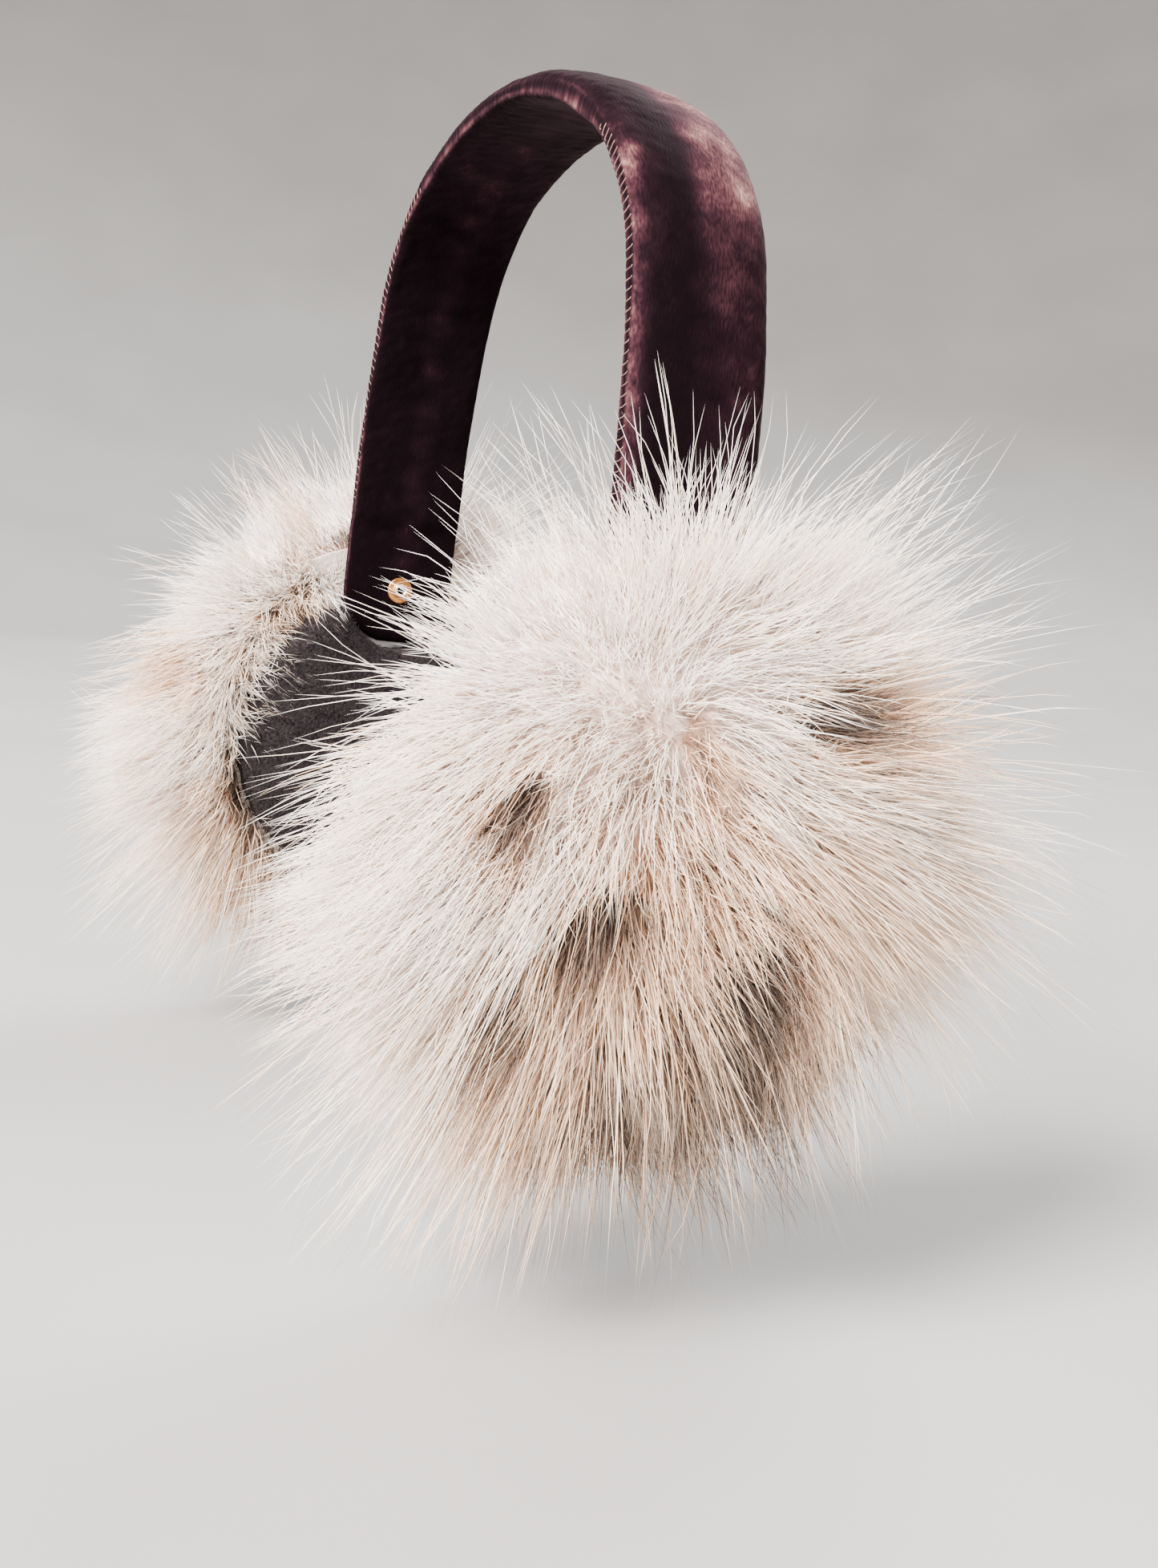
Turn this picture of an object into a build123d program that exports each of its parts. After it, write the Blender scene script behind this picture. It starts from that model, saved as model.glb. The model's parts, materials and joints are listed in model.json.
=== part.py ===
from build123d import *
import os
from math import cos, degrees, radians, sin

# Fur earmuffs: a sprung headband sewn into velvet, and a fur muff riveted to each end of it.
# Millimetres. X runs from ear to ear, Y from front to back and Z up.
# The origin is midway between the centres of the two muffs. "right" is the +X side.

# ---- Headband: its middle line, from the top of the crown down one leg ----
crown_above_rivets = 109.0  # middle line of the band over the crown, above the rivets
crown_radius = 88.0         # arc over the crown
crown_turn = 30.0           # degrees that the crown arc turns, each side of the top
shoulder_radius = 46.0      # tighter arc at the shoulder
shoulder_turn = 46.0
leg_radius = 200.0          # long arc down the leg, which ends upright

# ---- Headband: its section ----
band_width = 28.0
band_inside = 2.8           # middle line to the flat inner face
band_edge = 0.8             # middle line to the outer face, at the two edges
band_crest = 3.6            # middle line to the outer face, at the middle of the width
band_corner = 1.2           # rounding of the two inner corners
velvet = 0.8                # thickness of the velvet with its backing
strip_width = 20.0
strip_thickness = 0.8
end_half_thickness = 2.0    # flat, unpadded end of the band, each side of its middle line
end_length = 18.0           # from the rivet up to where the padding starts
thread_diameter = 0.7
thread_offset = 1.5         # closing thread, behind the middle of the band
thread_gap = 0.03

# ---- How far the band springs ----
spring_close = 6.0          # degrees that each arm can be pressed inwards
flex_gap = 0.3              # between crown and arm, at the outer skin
flex_margin = 1.0           # degrees to spare at the closed limit
pivot_lift = 0.2            # flex axis above the crest

# ---- Rivet and washers ----
barrel_diameter = 2.8
barrel_bore = 2.0
curl_width = 0.4            # how far the rolled end stands out round the barrel
curl_height = 0.7
washer_diameter = 6.6
washer_thickness = 0.6
head_diameter = 7.0
head_thickness = 0.8
friction_diameter = 11.0
friction_thickness = 0.6
running_clearance = 0.08    # barrel to the pieces on it, on the radius
swivel_gap = 0.1            # between the flat faces that turn on each other
layer_gap = 0.3             # band end to the pelt that sweeps past it

# ---- Hinge tab and backing disc ----
tab_thickness = 1.0
tab_width = 13.0
tab_tail = 6.0              # tab below its two small rivets
tab_rivet_spacing = 7.0
tab_rivet_diameter = 2.2
tab_rivet_head = 4.0
tab_rivet_cap = 0.6
disc_radius = 43.7
disc_thickness = 1.6
rivet_inset = 9.7           # main rivet in from the disc's edge
head_clearance = 1.0        # around the rivet head, in the disc and the wadding

# ---- Muff ----
rim_depth = 2.8             # straight rim of the wadding, outside the backing disc
dome_height = 23.0          # wadding dome above its rim
pelt_thickness = 1.2
pelt_turn_in = 10.7         # how far the pelt is drawn in behind the disc
cord_diameter = 1.1
fur_radius = 66.0
fur_apex = 45.0             # fur in front of the backing disc's inner face
fur_wide = 8.0              # same, to where the fur is widest
fur_behind = 2.0            # fur behind the pelt, towards the head
fur_back_radius = 55.0
fur_clear = 1.1             # band to the fur that sweeps past it
swing = 40.0                # degrees that a muff swings each way
swing_margin = 2.0

# ---- Ear pad ----
pad_inset = 2.1             # lining in from the pelt's edge, at the lowest point
pad_drop = 5.0              # pad centre below the muff centre
pad_depth = 10.9
pad_round = 3.0
lining = 0.8
notch_clearance = 2.0       # round notch of the pad, clear of the band's round end
tab_rivet_clearance = 1.7   # tab rivets below the lining of that notch

# ---- What follows from them ----
shoulder_heading = crown_turn + shoulder_turn
rivet_rise = disc_radius - rivet_inset
crown_centre = (0.0, rivet_rise + crown_above_rivets - crown_radius)


def along(centre, radius, heading):
    """The point of an arc where the band heads the given number of degrees below level."""
    return (centre[0] + radius * sin(radians(heading)), centre[1] + radius * cos(radians(heading)))


def next_centre(centre, radius, heading, next_radius):
    """Centre of the arc that carries on from this one without a kink."""
    return along(centre, radius - next_radius, heading)


shoulder_centre = next_centre(crown_centre, crown_radius, crown_turn, shoulder_radius)
leg_centre = next_centre(shoulder_centre, shoulder_radius, shoulder_heading, leg_radius)
leg_x = leg_centre[0] + leg_radius
pad_end_rise = rivet_rise + end_length

# Stack of flat layers at the rivet, outwards from the band's middle line.
band_out = leg_x + end_half_thickness
friction_out = band_out + friction_thickness
tab_in = friction_out + swivel_gap
disc_in = tab_in + tab_thickness
disc_out = disc_in + disc_thickness
head_in = disc_in + swivel_gap
head_out = head_in + head_thickness
band_in = leg_x - end_half_thickness
washer_in = band_in - washer_thickness
curl_in = washer_in - curl_height
pelt_in = disc_in - pelt_thickness
pelt_radius = disc_radius + pelt_thickness
pelt_opening = pelt_radius - pelt_turn_in
pad_face = pelt_in - pad_depth
pad_radius = pelt_radius - pad_inset - pad_drop - lining
notch_radius = band_width / 2 + notch_clearance
tab_rivet_drop = notch_radius + lining + tab_rivet_head / 2 + tab_rivet_clearance
tab_length = tab_rivet_drop + tab_tail
curl_diameter = barrel_diameter + 2 * curl_width
rim_out = disc_out + rim_depth
assert pelt_in >= band_out + layer_gap, "the pelt needs room to sweep past the band's end"
assert leg_centre[1] > pad_end_rise + velvet, "the leg has to be upright before its padding ends"

nodes = {}


# ---- Headband ----
def section(inset):
    """Domed section of the band, with every face moved in by inset; x is the width, y is outwards."""
    half = band_width / 2 - inset
    inner = -band_inside + inset
    corner = max(band_corner - inset, 0.3)
    with BuildSketch() as sketch:
        with BuildLine():
            low = Polyline((-half, band_edge), (-half, inner), (half, inner), (half, band_edge))
            ThreePointArc(low @ 1, (0, band_crest - inset), low @ 0)
        make_face()
        fillet(sketch.vertices().group_by(Axis.Y)[0], corner)
    return sketch.sketch


def strip_section():
    """Flat section of the steel strip."""
    return Rectangle(strip_width, strip_thickness)


def thread_section():
    """Round section of the closing thread, just under the inner face."""
    drop = band_inside + thread_diameter / 2 + thread_gap
    return Pos(thread_offset, -drop) * Circle(thread_diameter / 2)


def crown_path():
    """Middle line over the crown, from left to right."""
    arc = CenterArc(crown_centre, crown_radius, 90 + crown_turn, -2 * crown_turn)
    return Plane.XZ * Wire(arc)


def arm_path(end_rise):
    """Middle line from the crown's end down the right leg to end_rise."""
    first_turn = shoulder_turn - flex_gap_turn
    shoulder = CenterArc(shoulder_centre, shoulder_radius, 90 - crown_turn - flex_gap_turn, -first_turn)
    leg = CenterArc(leg_centre, leg_radius, 90 - shoulder_heading, -(90 - shoulder_heading))
    straight = Line((leg_x, leg_centre[1]), (leg_x, end_rise))
    return Plane.XZ * Wire([shoulder.edge(), leg.edge(), straight.edge()])


def sweep_along(path, sketch):
    """Carry a section along a path; its x follows Y and its y points away from the head."""
    start = Plane(origin=path @ 0, x_dir=(0, 1, 0), z_dir=path % 0)
    return sweep(start * sketch, path=path)


# The gap at the flex axis, as degrees of the shoulder arc.
flex_gap_turn = degrees(flex_gap / (shoulder_radius + band_crest))
flex_x, flex_z = along(crown_centre, crown_radius + band_crest + pivot_lift, crown_turn)


def flex_wedge():
    """Room between crown and arm that lets the arm be pressed inwards about the flex axis."""
    reach = 14.0
    opening = spring_close + flex_margin
    far = []
    for turn in (0.0, opening):
        heading = radians(crown_turn - turn)
        far.append((flex_x - reach * sin(heading), flex_z - reach * cos(heading)))
    outline = Polygon((flex_x, flex_z), far[0], far[1], align=None)
    return extrude(Plane.XZ * outline, band_width, both=True)


def end_plate(width, half_thickness, top):
    """Flat band end in the YZ plane: round about the rivet, straight up to top."""
    height = top - rivet_rise
    outline = Circle(width / 2) + Pos(0, height / 2) * Rectangle(width, height)
    plate = extrude(Plane.YZ * outline, half_thickness, both=True)
    return Pos(leg_x, 0, rivet_rise) * plate


def rivet_hole(diameter):
    """Long pin on the rivet's axis, to cut holes with."""
    return Pos(leg_x, 0, rivet_rise) * (Rot(0, 90, 0) * Cylinder(diameter / 2, 60))


def build_crown():
    """The part of the band over the head, between the two flex axes."""
    path = crown_path()
    strip = sweep_along(path, strip_section())
    core = sweep_along(path, section(velvet))
    nodes["spring_strip_crown"] = strip
    nodes["band_wadding_crown"] = core - strip
    nodes["velvet_sleeve_crown"] = sweep_along(path, section(0)) - core
    nodes["closing_thread_crown"] = sweep_along(path, thread_section())


def build_arm():
    """One leg of the band, from its flex axis to its round end."""
    wedge = flex_wedge()
    padded = arm_path(pad_end_rise)
    hole = rivet_hole(barrel_diameter + 2 * running_clearance)
    strip = sweep_along(padded, strip_section())
    strip += end_plate(strip_width, strip_thickness / 2, pad_end_rise)
    core = sweep_along(arm_path(pad_end_rise + velvet), section(velvet))
    skin = sweep_along(padded, section(0)) - core
    skin += end_plate(band_width, end_half_thickness, pad_end_rise)
    nodes["spring_strip_right"] = strip - wedge - hole
    nodes["band_wadding_right"] = core - strip - wedge
    nodes["velvet_sleeve_right"] = skin - strip - wedge - hole
    nodes["closing_thread_right"] = sweep_along(padded, thread_section()) - wedge


# ---- Solids about the X axis ----
def turned(profile):
    """Turn a profile, drawn with x outwards and y as radius, about the X axis."""
    return revolve(profile, Axis.X, 360)


def disc(radius, x_from, x_to):
    """Flat round disc about the X axis, between two x values."""
    return Pos((x_from + x_to) / 2, 0, 0) * (Rot(0, 90, 0) * Cylinder(radius, x_to - x_from))


def dome(radius, x_back, x_rim, height):
    """Solid with a straight rim from x_back to x_rim, then a quarter ellipse up to its apex."""
    with BuildSketch() as sketch:
        with BuildLine():
            sides = Polyline((x_rim + height, 0), (x_back, 0), (x_back, radius), (x_rim, radius))
            EllipticalCenterArc((x_rim, 0), height, radius, start_angle=0, arc_size=90)
        make_face()
    return turned(sketch.sketch)


def at_rivet(shape):
    """Lift a shape made about the X axis to the rivet's height."""
    return Pos(0, 0, rivet_rise) * shape


def tab_rivet_pair(radius, x_from, x_to):
    """The same round disc at both of the tab's small rivets."""
    pair = Part()
    for side in (-1, 1):
        pair += Pos(0, side * tab_rivet_spacing / 2, rivet_rise - tab_rivet_drop) * disc(radius, x_from, x_to)
    return pair


# ---- Rivet and washers ----
def build_rivet():
    """Tubular brass rivet, its washer under the rolled end, and the friction washer."""
    barrel = disc(barrel_diameter / 2, curl_in, head_out)
    head = disc(head_diameter / 2, head_in, head_out)
    curl = disc(curl_diameter / 2, curl_in, washer_in)
    edge = curl.edges().filter_by(GeomType.CIRCLE).group_by(Axis.X)[0]
    curl = fillet(edge, curl_height * 0.8)
    bore = disc(barrel_bore / 2, curl_in - 1, head_out + 1)
    clear = disc(barrel_diameter / 2 + running_clearance, curl_in, head_out)
    nodes["rivet_right"] = at_rivet(barrel + head + curl - bore)
    nodes["brass_washer_right"] = at_rivet(disc(washer_diameter / 2, washer_in, band_in) - clear)
    nodes["friction_washer_right"] = at_rivet(disc(friction_diameter / 2, band_out, friction_out) - clear)


# ---- Muff ----
def tab_outline(width, length):
    """Tab: round about the rivet, straight down to a square end."""
    return Circle(width / 2) + Pos(0, -length / 2) * Rectangle(width, length)


def build_tab():
    """Hinge tab, the two rivets through it and the backing disc that they hold."""
    clear = rivet_hole(barrel_diameter + 2 * running_clearance)
    blank = extrude(Plane.YZ * tab_outline(tab_width, tab_length), tab_thickness)
    tab = Pos(tab_in, 0, rivet_rise) * blank - clear
    backing = disc(disc_radius, disc_in, disc_out)
    backing -= at_rivet(disc(head_diameter / 2 + head_clearance, disc_in - 1, disc_out + 1))
    shanks = tab_rivet_pair(tab_rivet_diameter / 2, tab_in - tab_rivet_cap, disc_out + tab_rivet_cap)
    inner_heads = tab_rivet_pair(tab_rivet_head / 2, tab_in - tab_rivet_cap, tab_in)
    outer_heads = tab_rivet_pair(tab_rivet_head / 2, disc_out, disc_out + tab_rivet_cap)
    nodes["hinge_tab_right"] = tab - shanks
    nodes["backing_disc_right"] = backing - shanks
    nodes["tab_rivets_right"] = shanks + inner_heads + outer_heads


def swing_fan(x_from, x_to):
    """Everything that the band crosses, seen from the muff, as the muff swings each way."""
    turn = radians(swing + swing_margin)
    half = band_width / 2 + fur_clear
    reach = fur_radius
    near = (half * cos(turn), -half * sin(turn))
    far = (near[0] + reach * sin(turn), near[1] + reach * cos(turn))
    top = (far[0] * 0.85, reach)
    right_edge = [near, far, top]
    left_edge = [(-x, y) for x, y in reversed(right_edge)]
    outline = Polygon(*right_edge, *left_edge, align=None) + Circle(half)
    fan = extrude(Plane.YZ * outline, x_to - x_from)
    return Pos(x_from, 0, rivet_rise) * fan


def build_muff():
    """Wadding dome, pelt, gathering cord and fur of one muff."""
    fill = dome(disc_radius, disc_out, rim_out, dome_height)
    fill -= at_rivet(disc(head_diameter / 2 + head_clearance, disc_in, head_out + head_clearance))
    fill -= nodes["tab_rivets_right"]
    cavity = dome(disc_radius, disc_in, rim_out, dome_height)
    outside = dome(pelt_radius, pelt_in, rim_out, dome_height + pelt_thickness)
    mouth = disc(pelt_opening, pelt_in - 1, disc_in)
    slot_width = tab_width + 2 * head_clearance
    slot = Pos(pelt_in, 0, rivet_rise + slot_width / 2) * Box(2 * pelt_thickness, slot_width, 2 * slot_width)
    cord_ring = Torus(pelt_opening - cord_diameter / 2, cord_diameter / 2)
    cord = Pos((pelt_in + disc_in) / 2, 0, 0) * (Rot(0, 90, 0) * cord_ring)
    nodes["muff_wadding_right"] = fill
    nodes["pelt_right"] = outside - cavity - mouth - slot
    nodes["gathering_cord_right"] = cord - slot
    nodes["fur_right"] = fur_solid() - outside - swing_fan(0, leg_x + band_crest + fur_clear)


def fur_solid():
    """Outer shape of the combed fur, solid to the axis; the pelt's own shape is taken out of it."""
    x_back = pelt_in - fur_behind
    x_wide = disc_in + fur_wide
    apex = disc_in + fur_apex
    with BuildSketch() as sketch:
        with BuildLine():
            Line((apex, 0), (pelt_in, 0))
            Line((pelt_in, 0), (pelt_in, pelt_radius))
            Line((pelt_in, pelt_radius), (x_back, pelt_radius))
            Line((x_back, pelt_radius), (x_back, fur_back_radius))
            rise = fur_radius - fur_back_radius
            EllipticalCenterArc((x_wide, fur_back_radius), x_wide - x_back, rise,
                                start_angle=90, arc_size=90)
            EllipticalCenterArc((x_wide, 0), apex - x_wide, fur_radius, start_angle=0, arc_size=90)
        make_face()
    return turned(sketch.sketch)


def build_pad():
    """Ear foam and the plush lining over it, both notched round the band's end."""
    centre = Pos(0, 0, -pad_drop)
    back = pelt_in
    outer = centre * disc(pad_radius + lining, pad_face, back)
    outer -= at_rivet(disc(notch_radius, pad_face - 1, back + 1))
    outer = fillet(outer.edges().group_by(Axis.X)[0], pad_round)
    foam = centre * disc(pad_radius, pad_face + lining, back)
    foam -= at_rivet(disc(notch_radius + lining, pad_face - 1, back + 1))
    foam = fillet(foam.edges().group_by(Axis.X)[0], pad_round - lining)
    skin = outer - foam
    foam -= nodes["tab_rivets_right"]
    nodes["ear_foam_right"] = foam
    nodes["ear_lining_right"] = skin


build_crown()
build_arm()
build_rivet()
build_tab()
build_muff()
build_pad()

# The left side is the right side seen in a mirror.
for name in [name for name in nodes if name.endswith("_right")]:
    nodes[name.replace("_right", "_left")] = mirror(nodes[name], about=Plane.YZ)

os.makedirs("parts", exist_ok=True)
for name, shape in nodes.items():
    export_step(shape, "parts/" + name + ".step")
    print(f"{name}: {shape.volume:.1f} mm3")
print("rivets at x", round(leg_x, 3), "flex axes at", round(flex_x, 3), round(flex_z, 3))
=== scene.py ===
# %% [markdown]
# # Fur earmuffs
# A sprung headband is sewn into dark velvet, and a round fur muff is riveted to each end of it.
# The solid model holds every size and every axis. This lesson dresses it: velvet with painted
# sheen, brass rivets, black plush pads, and two coats of long fur made of separate hairs.
# The first cell loads the model. It has to come first, because every new piece takes its place
# from the model's boxes and axes.

# %% Load the model
import json
import bpy
import numpy as np
from mathutils import Matrix, Vector


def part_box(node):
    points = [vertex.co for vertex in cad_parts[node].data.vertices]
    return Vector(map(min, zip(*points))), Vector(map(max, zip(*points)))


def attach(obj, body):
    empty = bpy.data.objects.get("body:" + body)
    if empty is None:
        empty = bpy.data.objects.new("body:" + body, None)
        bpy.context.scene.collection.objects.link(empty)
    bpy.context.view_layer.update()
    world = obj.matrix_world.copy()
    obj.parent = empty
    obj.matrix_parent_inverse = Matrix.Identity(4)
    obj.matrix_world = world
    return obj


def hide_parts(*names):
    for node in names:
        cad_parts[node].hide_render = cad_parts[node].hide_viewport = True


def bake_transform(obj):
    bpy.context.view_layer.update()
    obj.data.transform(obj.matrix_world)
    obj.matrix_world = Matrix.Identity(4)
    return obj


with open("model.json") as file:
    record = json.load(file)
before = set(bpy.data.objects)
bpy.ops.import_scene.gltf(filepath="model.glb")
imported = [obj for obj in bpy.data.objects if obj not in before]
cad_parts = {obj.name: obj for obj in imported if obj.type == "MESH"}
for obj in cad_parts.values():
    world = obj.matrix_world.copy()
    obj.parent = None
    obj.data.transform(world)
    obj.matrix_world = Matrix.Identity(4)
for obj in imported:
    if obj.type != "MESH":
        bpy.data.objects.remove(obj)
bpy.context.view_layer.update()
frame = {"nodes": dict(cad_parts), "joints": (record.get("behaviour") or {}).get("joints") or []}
joints = {joint["name"]: joint for joint in frame["joints"]}

# %% [markdown]
# ## Sizes that the model gives
# A size that the model holds is read from it and not written again. The rivet's place is the axis
# of the muff's swivel joint, and the other values are sides of the boxes of single nodes.
# Only the arcs of the band's middle line and its two thicknesses are written here, since a box
# can't tell a radius. Each arc is its radius in metres and the angle that it turns, in degrees.

# %% Read the sizes
rivet = np.array(joints["right_swivel"]["pos_m"])
crown_high = np.array(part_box("velvet_sleeve_crown")[1])
pelt_low, pelt_high = (np.array(corner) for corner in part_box("pelt_right"))
pad_low, pad_high = (np.array(corner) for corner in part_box("ear_lining_right"))
washer_low, washer_high = (np.array(corner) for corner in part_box("brass_washer_right"))
curl_low, curl_high = (np.array(corner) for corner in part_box("rivet_right"))
end_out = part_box("friction_washer_right")[0][0]

sides = (("right", 1), ("left", -1))
band_half = crown_high[1]
end_half = end_out - rivet[0]
crest = 0.0036
inside = 0.0028
crown_arc = (0.088, 30.0)
shoulder_arc = (0.046, 46.0)
leg_arc = (0.200, 14.0)
print("rivet at", rivet, "band half width", band_half, "pelt radius", pelt_high[1])

# %% [markdown]
# ## Meshes from arrays
# Every new surface here is worked out with numpy as whole arrays of points, so a mesh is only
# those arrays poured into a mesh block. Faces with four corners and faces with three are kept
# apart, because that makes the arithmetic of their corner numbers simple.

# %% Pour arrays into a mesh
def mesh_object(name, points, quads, triangles, quad_uv=None, triangle_uv=None):
    """New smooth object: points is (n, 3), quads (a, 4) and triangles (b, 3) hold point numbers."""
    mesh = bpy.data.meshes.new(name)
    mesh.vertices.add(len(points))
    mesh.vertices.foreach_set("co", np.asarray(points, np.float32).ravel())
    corners = np.concatenate([quads.ravel(), triangles.ravel()]).astype(np.int32)
    mesh.loops.add(len(corners))
    mesh.loops.foreach_set("vertex_index", corners)
    quad_starts = 4 * np.arange(len(quads))
    triangle_starts = 4 * len(quads) + 3 * np.arange(len(triangles))
    starts = np.concatenate([quad_starts, triangle_starts]).astype(np.int32)
    mesh.polygons.add(len(starts))
    mesh.polygons.foreach_set("loop_start", starts)
    mesh.polygons.foreach_set("use_smooth", np.ones(len(starts), bool))
    if quad_uv is not None:
        layer = mesh.uv_layers.new(name="OFBake")
        both = np.concatenate([quad_uv.reshape(-1, 2), triangle_uv.reshape(-1, 2)])
        layer.uv.foreach_set("vector", both.astype(np.float32).ravel())
    mesh.update(calc_edges=True)
    piece = bpy.data.objects.new(name, mesh)
    bpy.context.scene.collection.objects.link(piece)
    return piece


def add_values(piece, name, values):
    """Store one number for each point of the mesh, for a material to read."""
    store = piece.data.attributes.new(name, "FLOAT", "POINT")
    store.data.foreach_set("value", np.asarray(values, np.float32).ravel())


def ring_tube(name, rings, first, last):
    """Closed surface through rings (n, m, 3), each end closed by a fan to one point."""
    count, around = rings.shape[:2]
    points = np.concatenate([rings.reshape(-1, 3), [first], [last]])
    row = np.arange(count - 1)[:, None] * around
    col = np.arange(around)[None, :]
    after = (col + 1) % around
    quads = np.stack([row + col, row + after, row + around + after, row + around + col], -1)
    here = np.arange(around)
    there = (here + 1) % around
    end = (count - 1) * around
    start_fan = np.stack([there, here, np.full(around, count * around)], -1)
    end_fan = np.stack([end + here, end + there, np.full(around, count * around + 1)], -1)
    piece = mesh_object(name, points, quads.reshape(-1, 4), np.concatenate([start_fan, end_fan]))
    edges = np.zeros(2 * len(piece.data.edges), np.int32)
    piece.data.edges.foreach_get("vertices", edges)
    on_first = (edges.reshape(-1, 2) < around).all(1)
    sharp = piece.data.attributes.new("sharp_edge", "BOOLEAN", "EDGE")
    sharp.data.foreach_set("value", on_first)
    return piece


def ripple(points, size, seed, waves=12):
    """Smooth noise from -1 to 1: the mean of sine waves of random heading, each about size long."""
    rng = np.random.default_rng(seed)
    heading = rng.normal(size=(waves, 3))
    heading /= np.linalg.norm(heading, axis=1)[:, None]
    pitch = 2 * np.pi / (size * rng.uniform(0.6, 1.6, waves))
    phase = rng.uniform(0, 2 * np.pi, waves)
    total = np.sin(points @ (heading * pitch[:, None]).T + phase).sum(-1)
    return total / np.sqrt(waves)


print("mesh helpers ready")

# %% [markdown]
# ## Materials
# A finish is a Principled shader whose colour, roughness and bump come from nodes. Two helpers
# keep the node code short: one makes a node and fills its sockets, the other makes a ramp.
# Patterns read Object coordinates, or a value stored on the mesh where they follow the cloth.

# %% Helpers for materials
def new_material(name, **sockets):
    """Empty material with one Principled shader whose sockets are set to constants."""
    made = bpy.data.materials.new(name)
    made.use_nodes = True
    tree = made.node_tree
    shader = tree.nodes["Principled BSDF"]
    for socket, value in sockets.items():
        shader.inputs[socket.replace("_", " ")].default_value = value
    return made, tree, shader


def node(tree, kind, inputs=None, **settings):
    """Add a node; an input is a constant or another node's output socket."""
    made = tree.nodes.new("ShaderNode" + kind)
    for key, value in settings.items():
        setattr(made, key, value)
    for key, value in (inputs or {}).items():
        if isinstance(value, bpy.types.NodeSocket):
            tree.links.new(value, made.inputs[key])
        else:
            made.inputs[key].default_value = value
    return made


def ramp(tree, factor, stops):
    """Colour ramp from a list of (place, red, green, blue)."""
    made = node(tree, "ValToRGB", {"Fac": factor})
    elements = made.color_ramp.elements
    while len(elements) < len(stops):
        elements.new(0.5)
    for element, (place, *colour) in zip(elements, stops):
        element.position = place
        element.color = (*colour, 1.0)
    return made.outputs["Color"]


def grain(tree, scale, detail=4.0, stretch=(1, 1, 1)):
    """Noise on the piece's own coordinates, stretched along an axis where asked."""
    place = node(tree, "TexCoord").outputs["Object"]
    turned = node(tree, "Mapping", {"Vector": place, "Scale": stretch}).outputs["Vector"]
    return node(tree, "TexNoise", {"Vector": turned, "Scale": scale, "Detail": detail}).outputs["Fac"]


def add_bump(tree, shader, height, strength, distance):
    """Bump from a height field, in metres at its full strength."""
    made = node(tree, "Bump", {"Height": height, "Strength": strength, "Distance": distance})
    tree.links.new(made.outputs["Normal"], shader.inputs["Normal"])


def simple_finish(name, dark, light, scale, roughness, metallic=0.0, stretch=(1, 1, 1), depth=0.0001):
    """Finish with one grain, which moves the colour, the roughness and the bump together."""
    made, tree, shader = new_material(name, Metallic=metallic)
    height = grain(tree, scale, 6.0, stretch)
    colour = ramp(tree, height, [(0.3, *dark), (0.7, *light)])
    tree.links.new(colour, shader.inputs["Base Color"])
    limits = {"To Min": roughness * 0.8, "To Max": roughness * 1.2}
    rough = node(tree, "MapRange", {"Value": height, **limits})
    tree.links.new(rough.outputs["Result"], shader.inputs["Roughness"])
    add_bump(tree, shader, height, 0.5, depth)
    return made


print("material helpers ready")

# %% [markdown]
# ## Finishes of the plain inner parts
# The steel, the wadding and the board are out of sight once the muffs are sewn up, but they show
# when the part is opened or cut, so each has its own grain: brushed along its length for the
# strip, fluffy for the wadding, pressed fibres for the board.

# %% Finish the inner parts
inner_finishes = {
    "spring_strip": simple_finish("blued_spring_steel", (0.10, 0.12, 0.17), (0.30, 0.31, 0.35),
                                  900, 0.35, 1.0, (1, 12, 1), 0.00003),
    "hinge_tab": simple_finish("plated_steel", (0.45, 0.45, 0.46), (0.66, 0.66, 0.68), 700, 0.38, 1.0),
    "tab_rivets": simple_finish("rivet_steel", (0.40, 0.40, 0.41), (0.62, 0.62, 0.63), 500, 0.42, 1.0),
    "friction_washer": simple_finish("natural_nylon", (0.74, 0.72, 0.66), (0.86, 0.85, 0.80), 300, 0.45),
    "backing_disc": simple_finish("pressed_board", (0.10, 0.09, 0.085), (0.22, 0.20, 0.19), 500, 0.75),
    "muff_wadding": simple_finish("muff_fill", (0.74, 0.73, 0.70), (0.93, 0.92, 0.90),
                                  180, 0.95, depth=0.001),
    "band_wadding": simple_finish("band_fill", (0.70, 0.69, 0.66), (0.90, 0.89, 0.87),
                                  260, 0.95, depth=0.0005),
    "ear_foam": simple_finish("pad_foam", (0.55, 0.53, 0.46), (0.74, 0.72, 0.64), 900, 0.9, depth=0.0004),
    "gathering_cord": simple_finish("cotton_cord", (0.50, 0.45, 0.36), (0.76, 0.71, 0.62), 1500, 0.85),
    "pelt": simple_finish("dressed_hide", (0.46, 0.38, 0.33), (0.72, 0.63, 0.56), 900, 0.8, depth=0.0006),
}
for name, piece in frame["nodes"].items():
    kind = name.rsplit("_", 1)[0]
    if kind in inner_finishes:
        piece.data.materials.clear()
        piece.data.materials.append(inner_finishes[kind])
print("finished", ", ".join(sorted(inner_finishes)))

# %% [markdown]
# ## The band's middle line
# Down one side, the band is an arc over the crown, a tighter arc at the shoulder, a long arc down
# the leg and a straight end. Its heading grows evenly with length on each arc, so the heading is
# a line with a few corners, and the middle line is the running sum of short steps along it.

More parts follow.
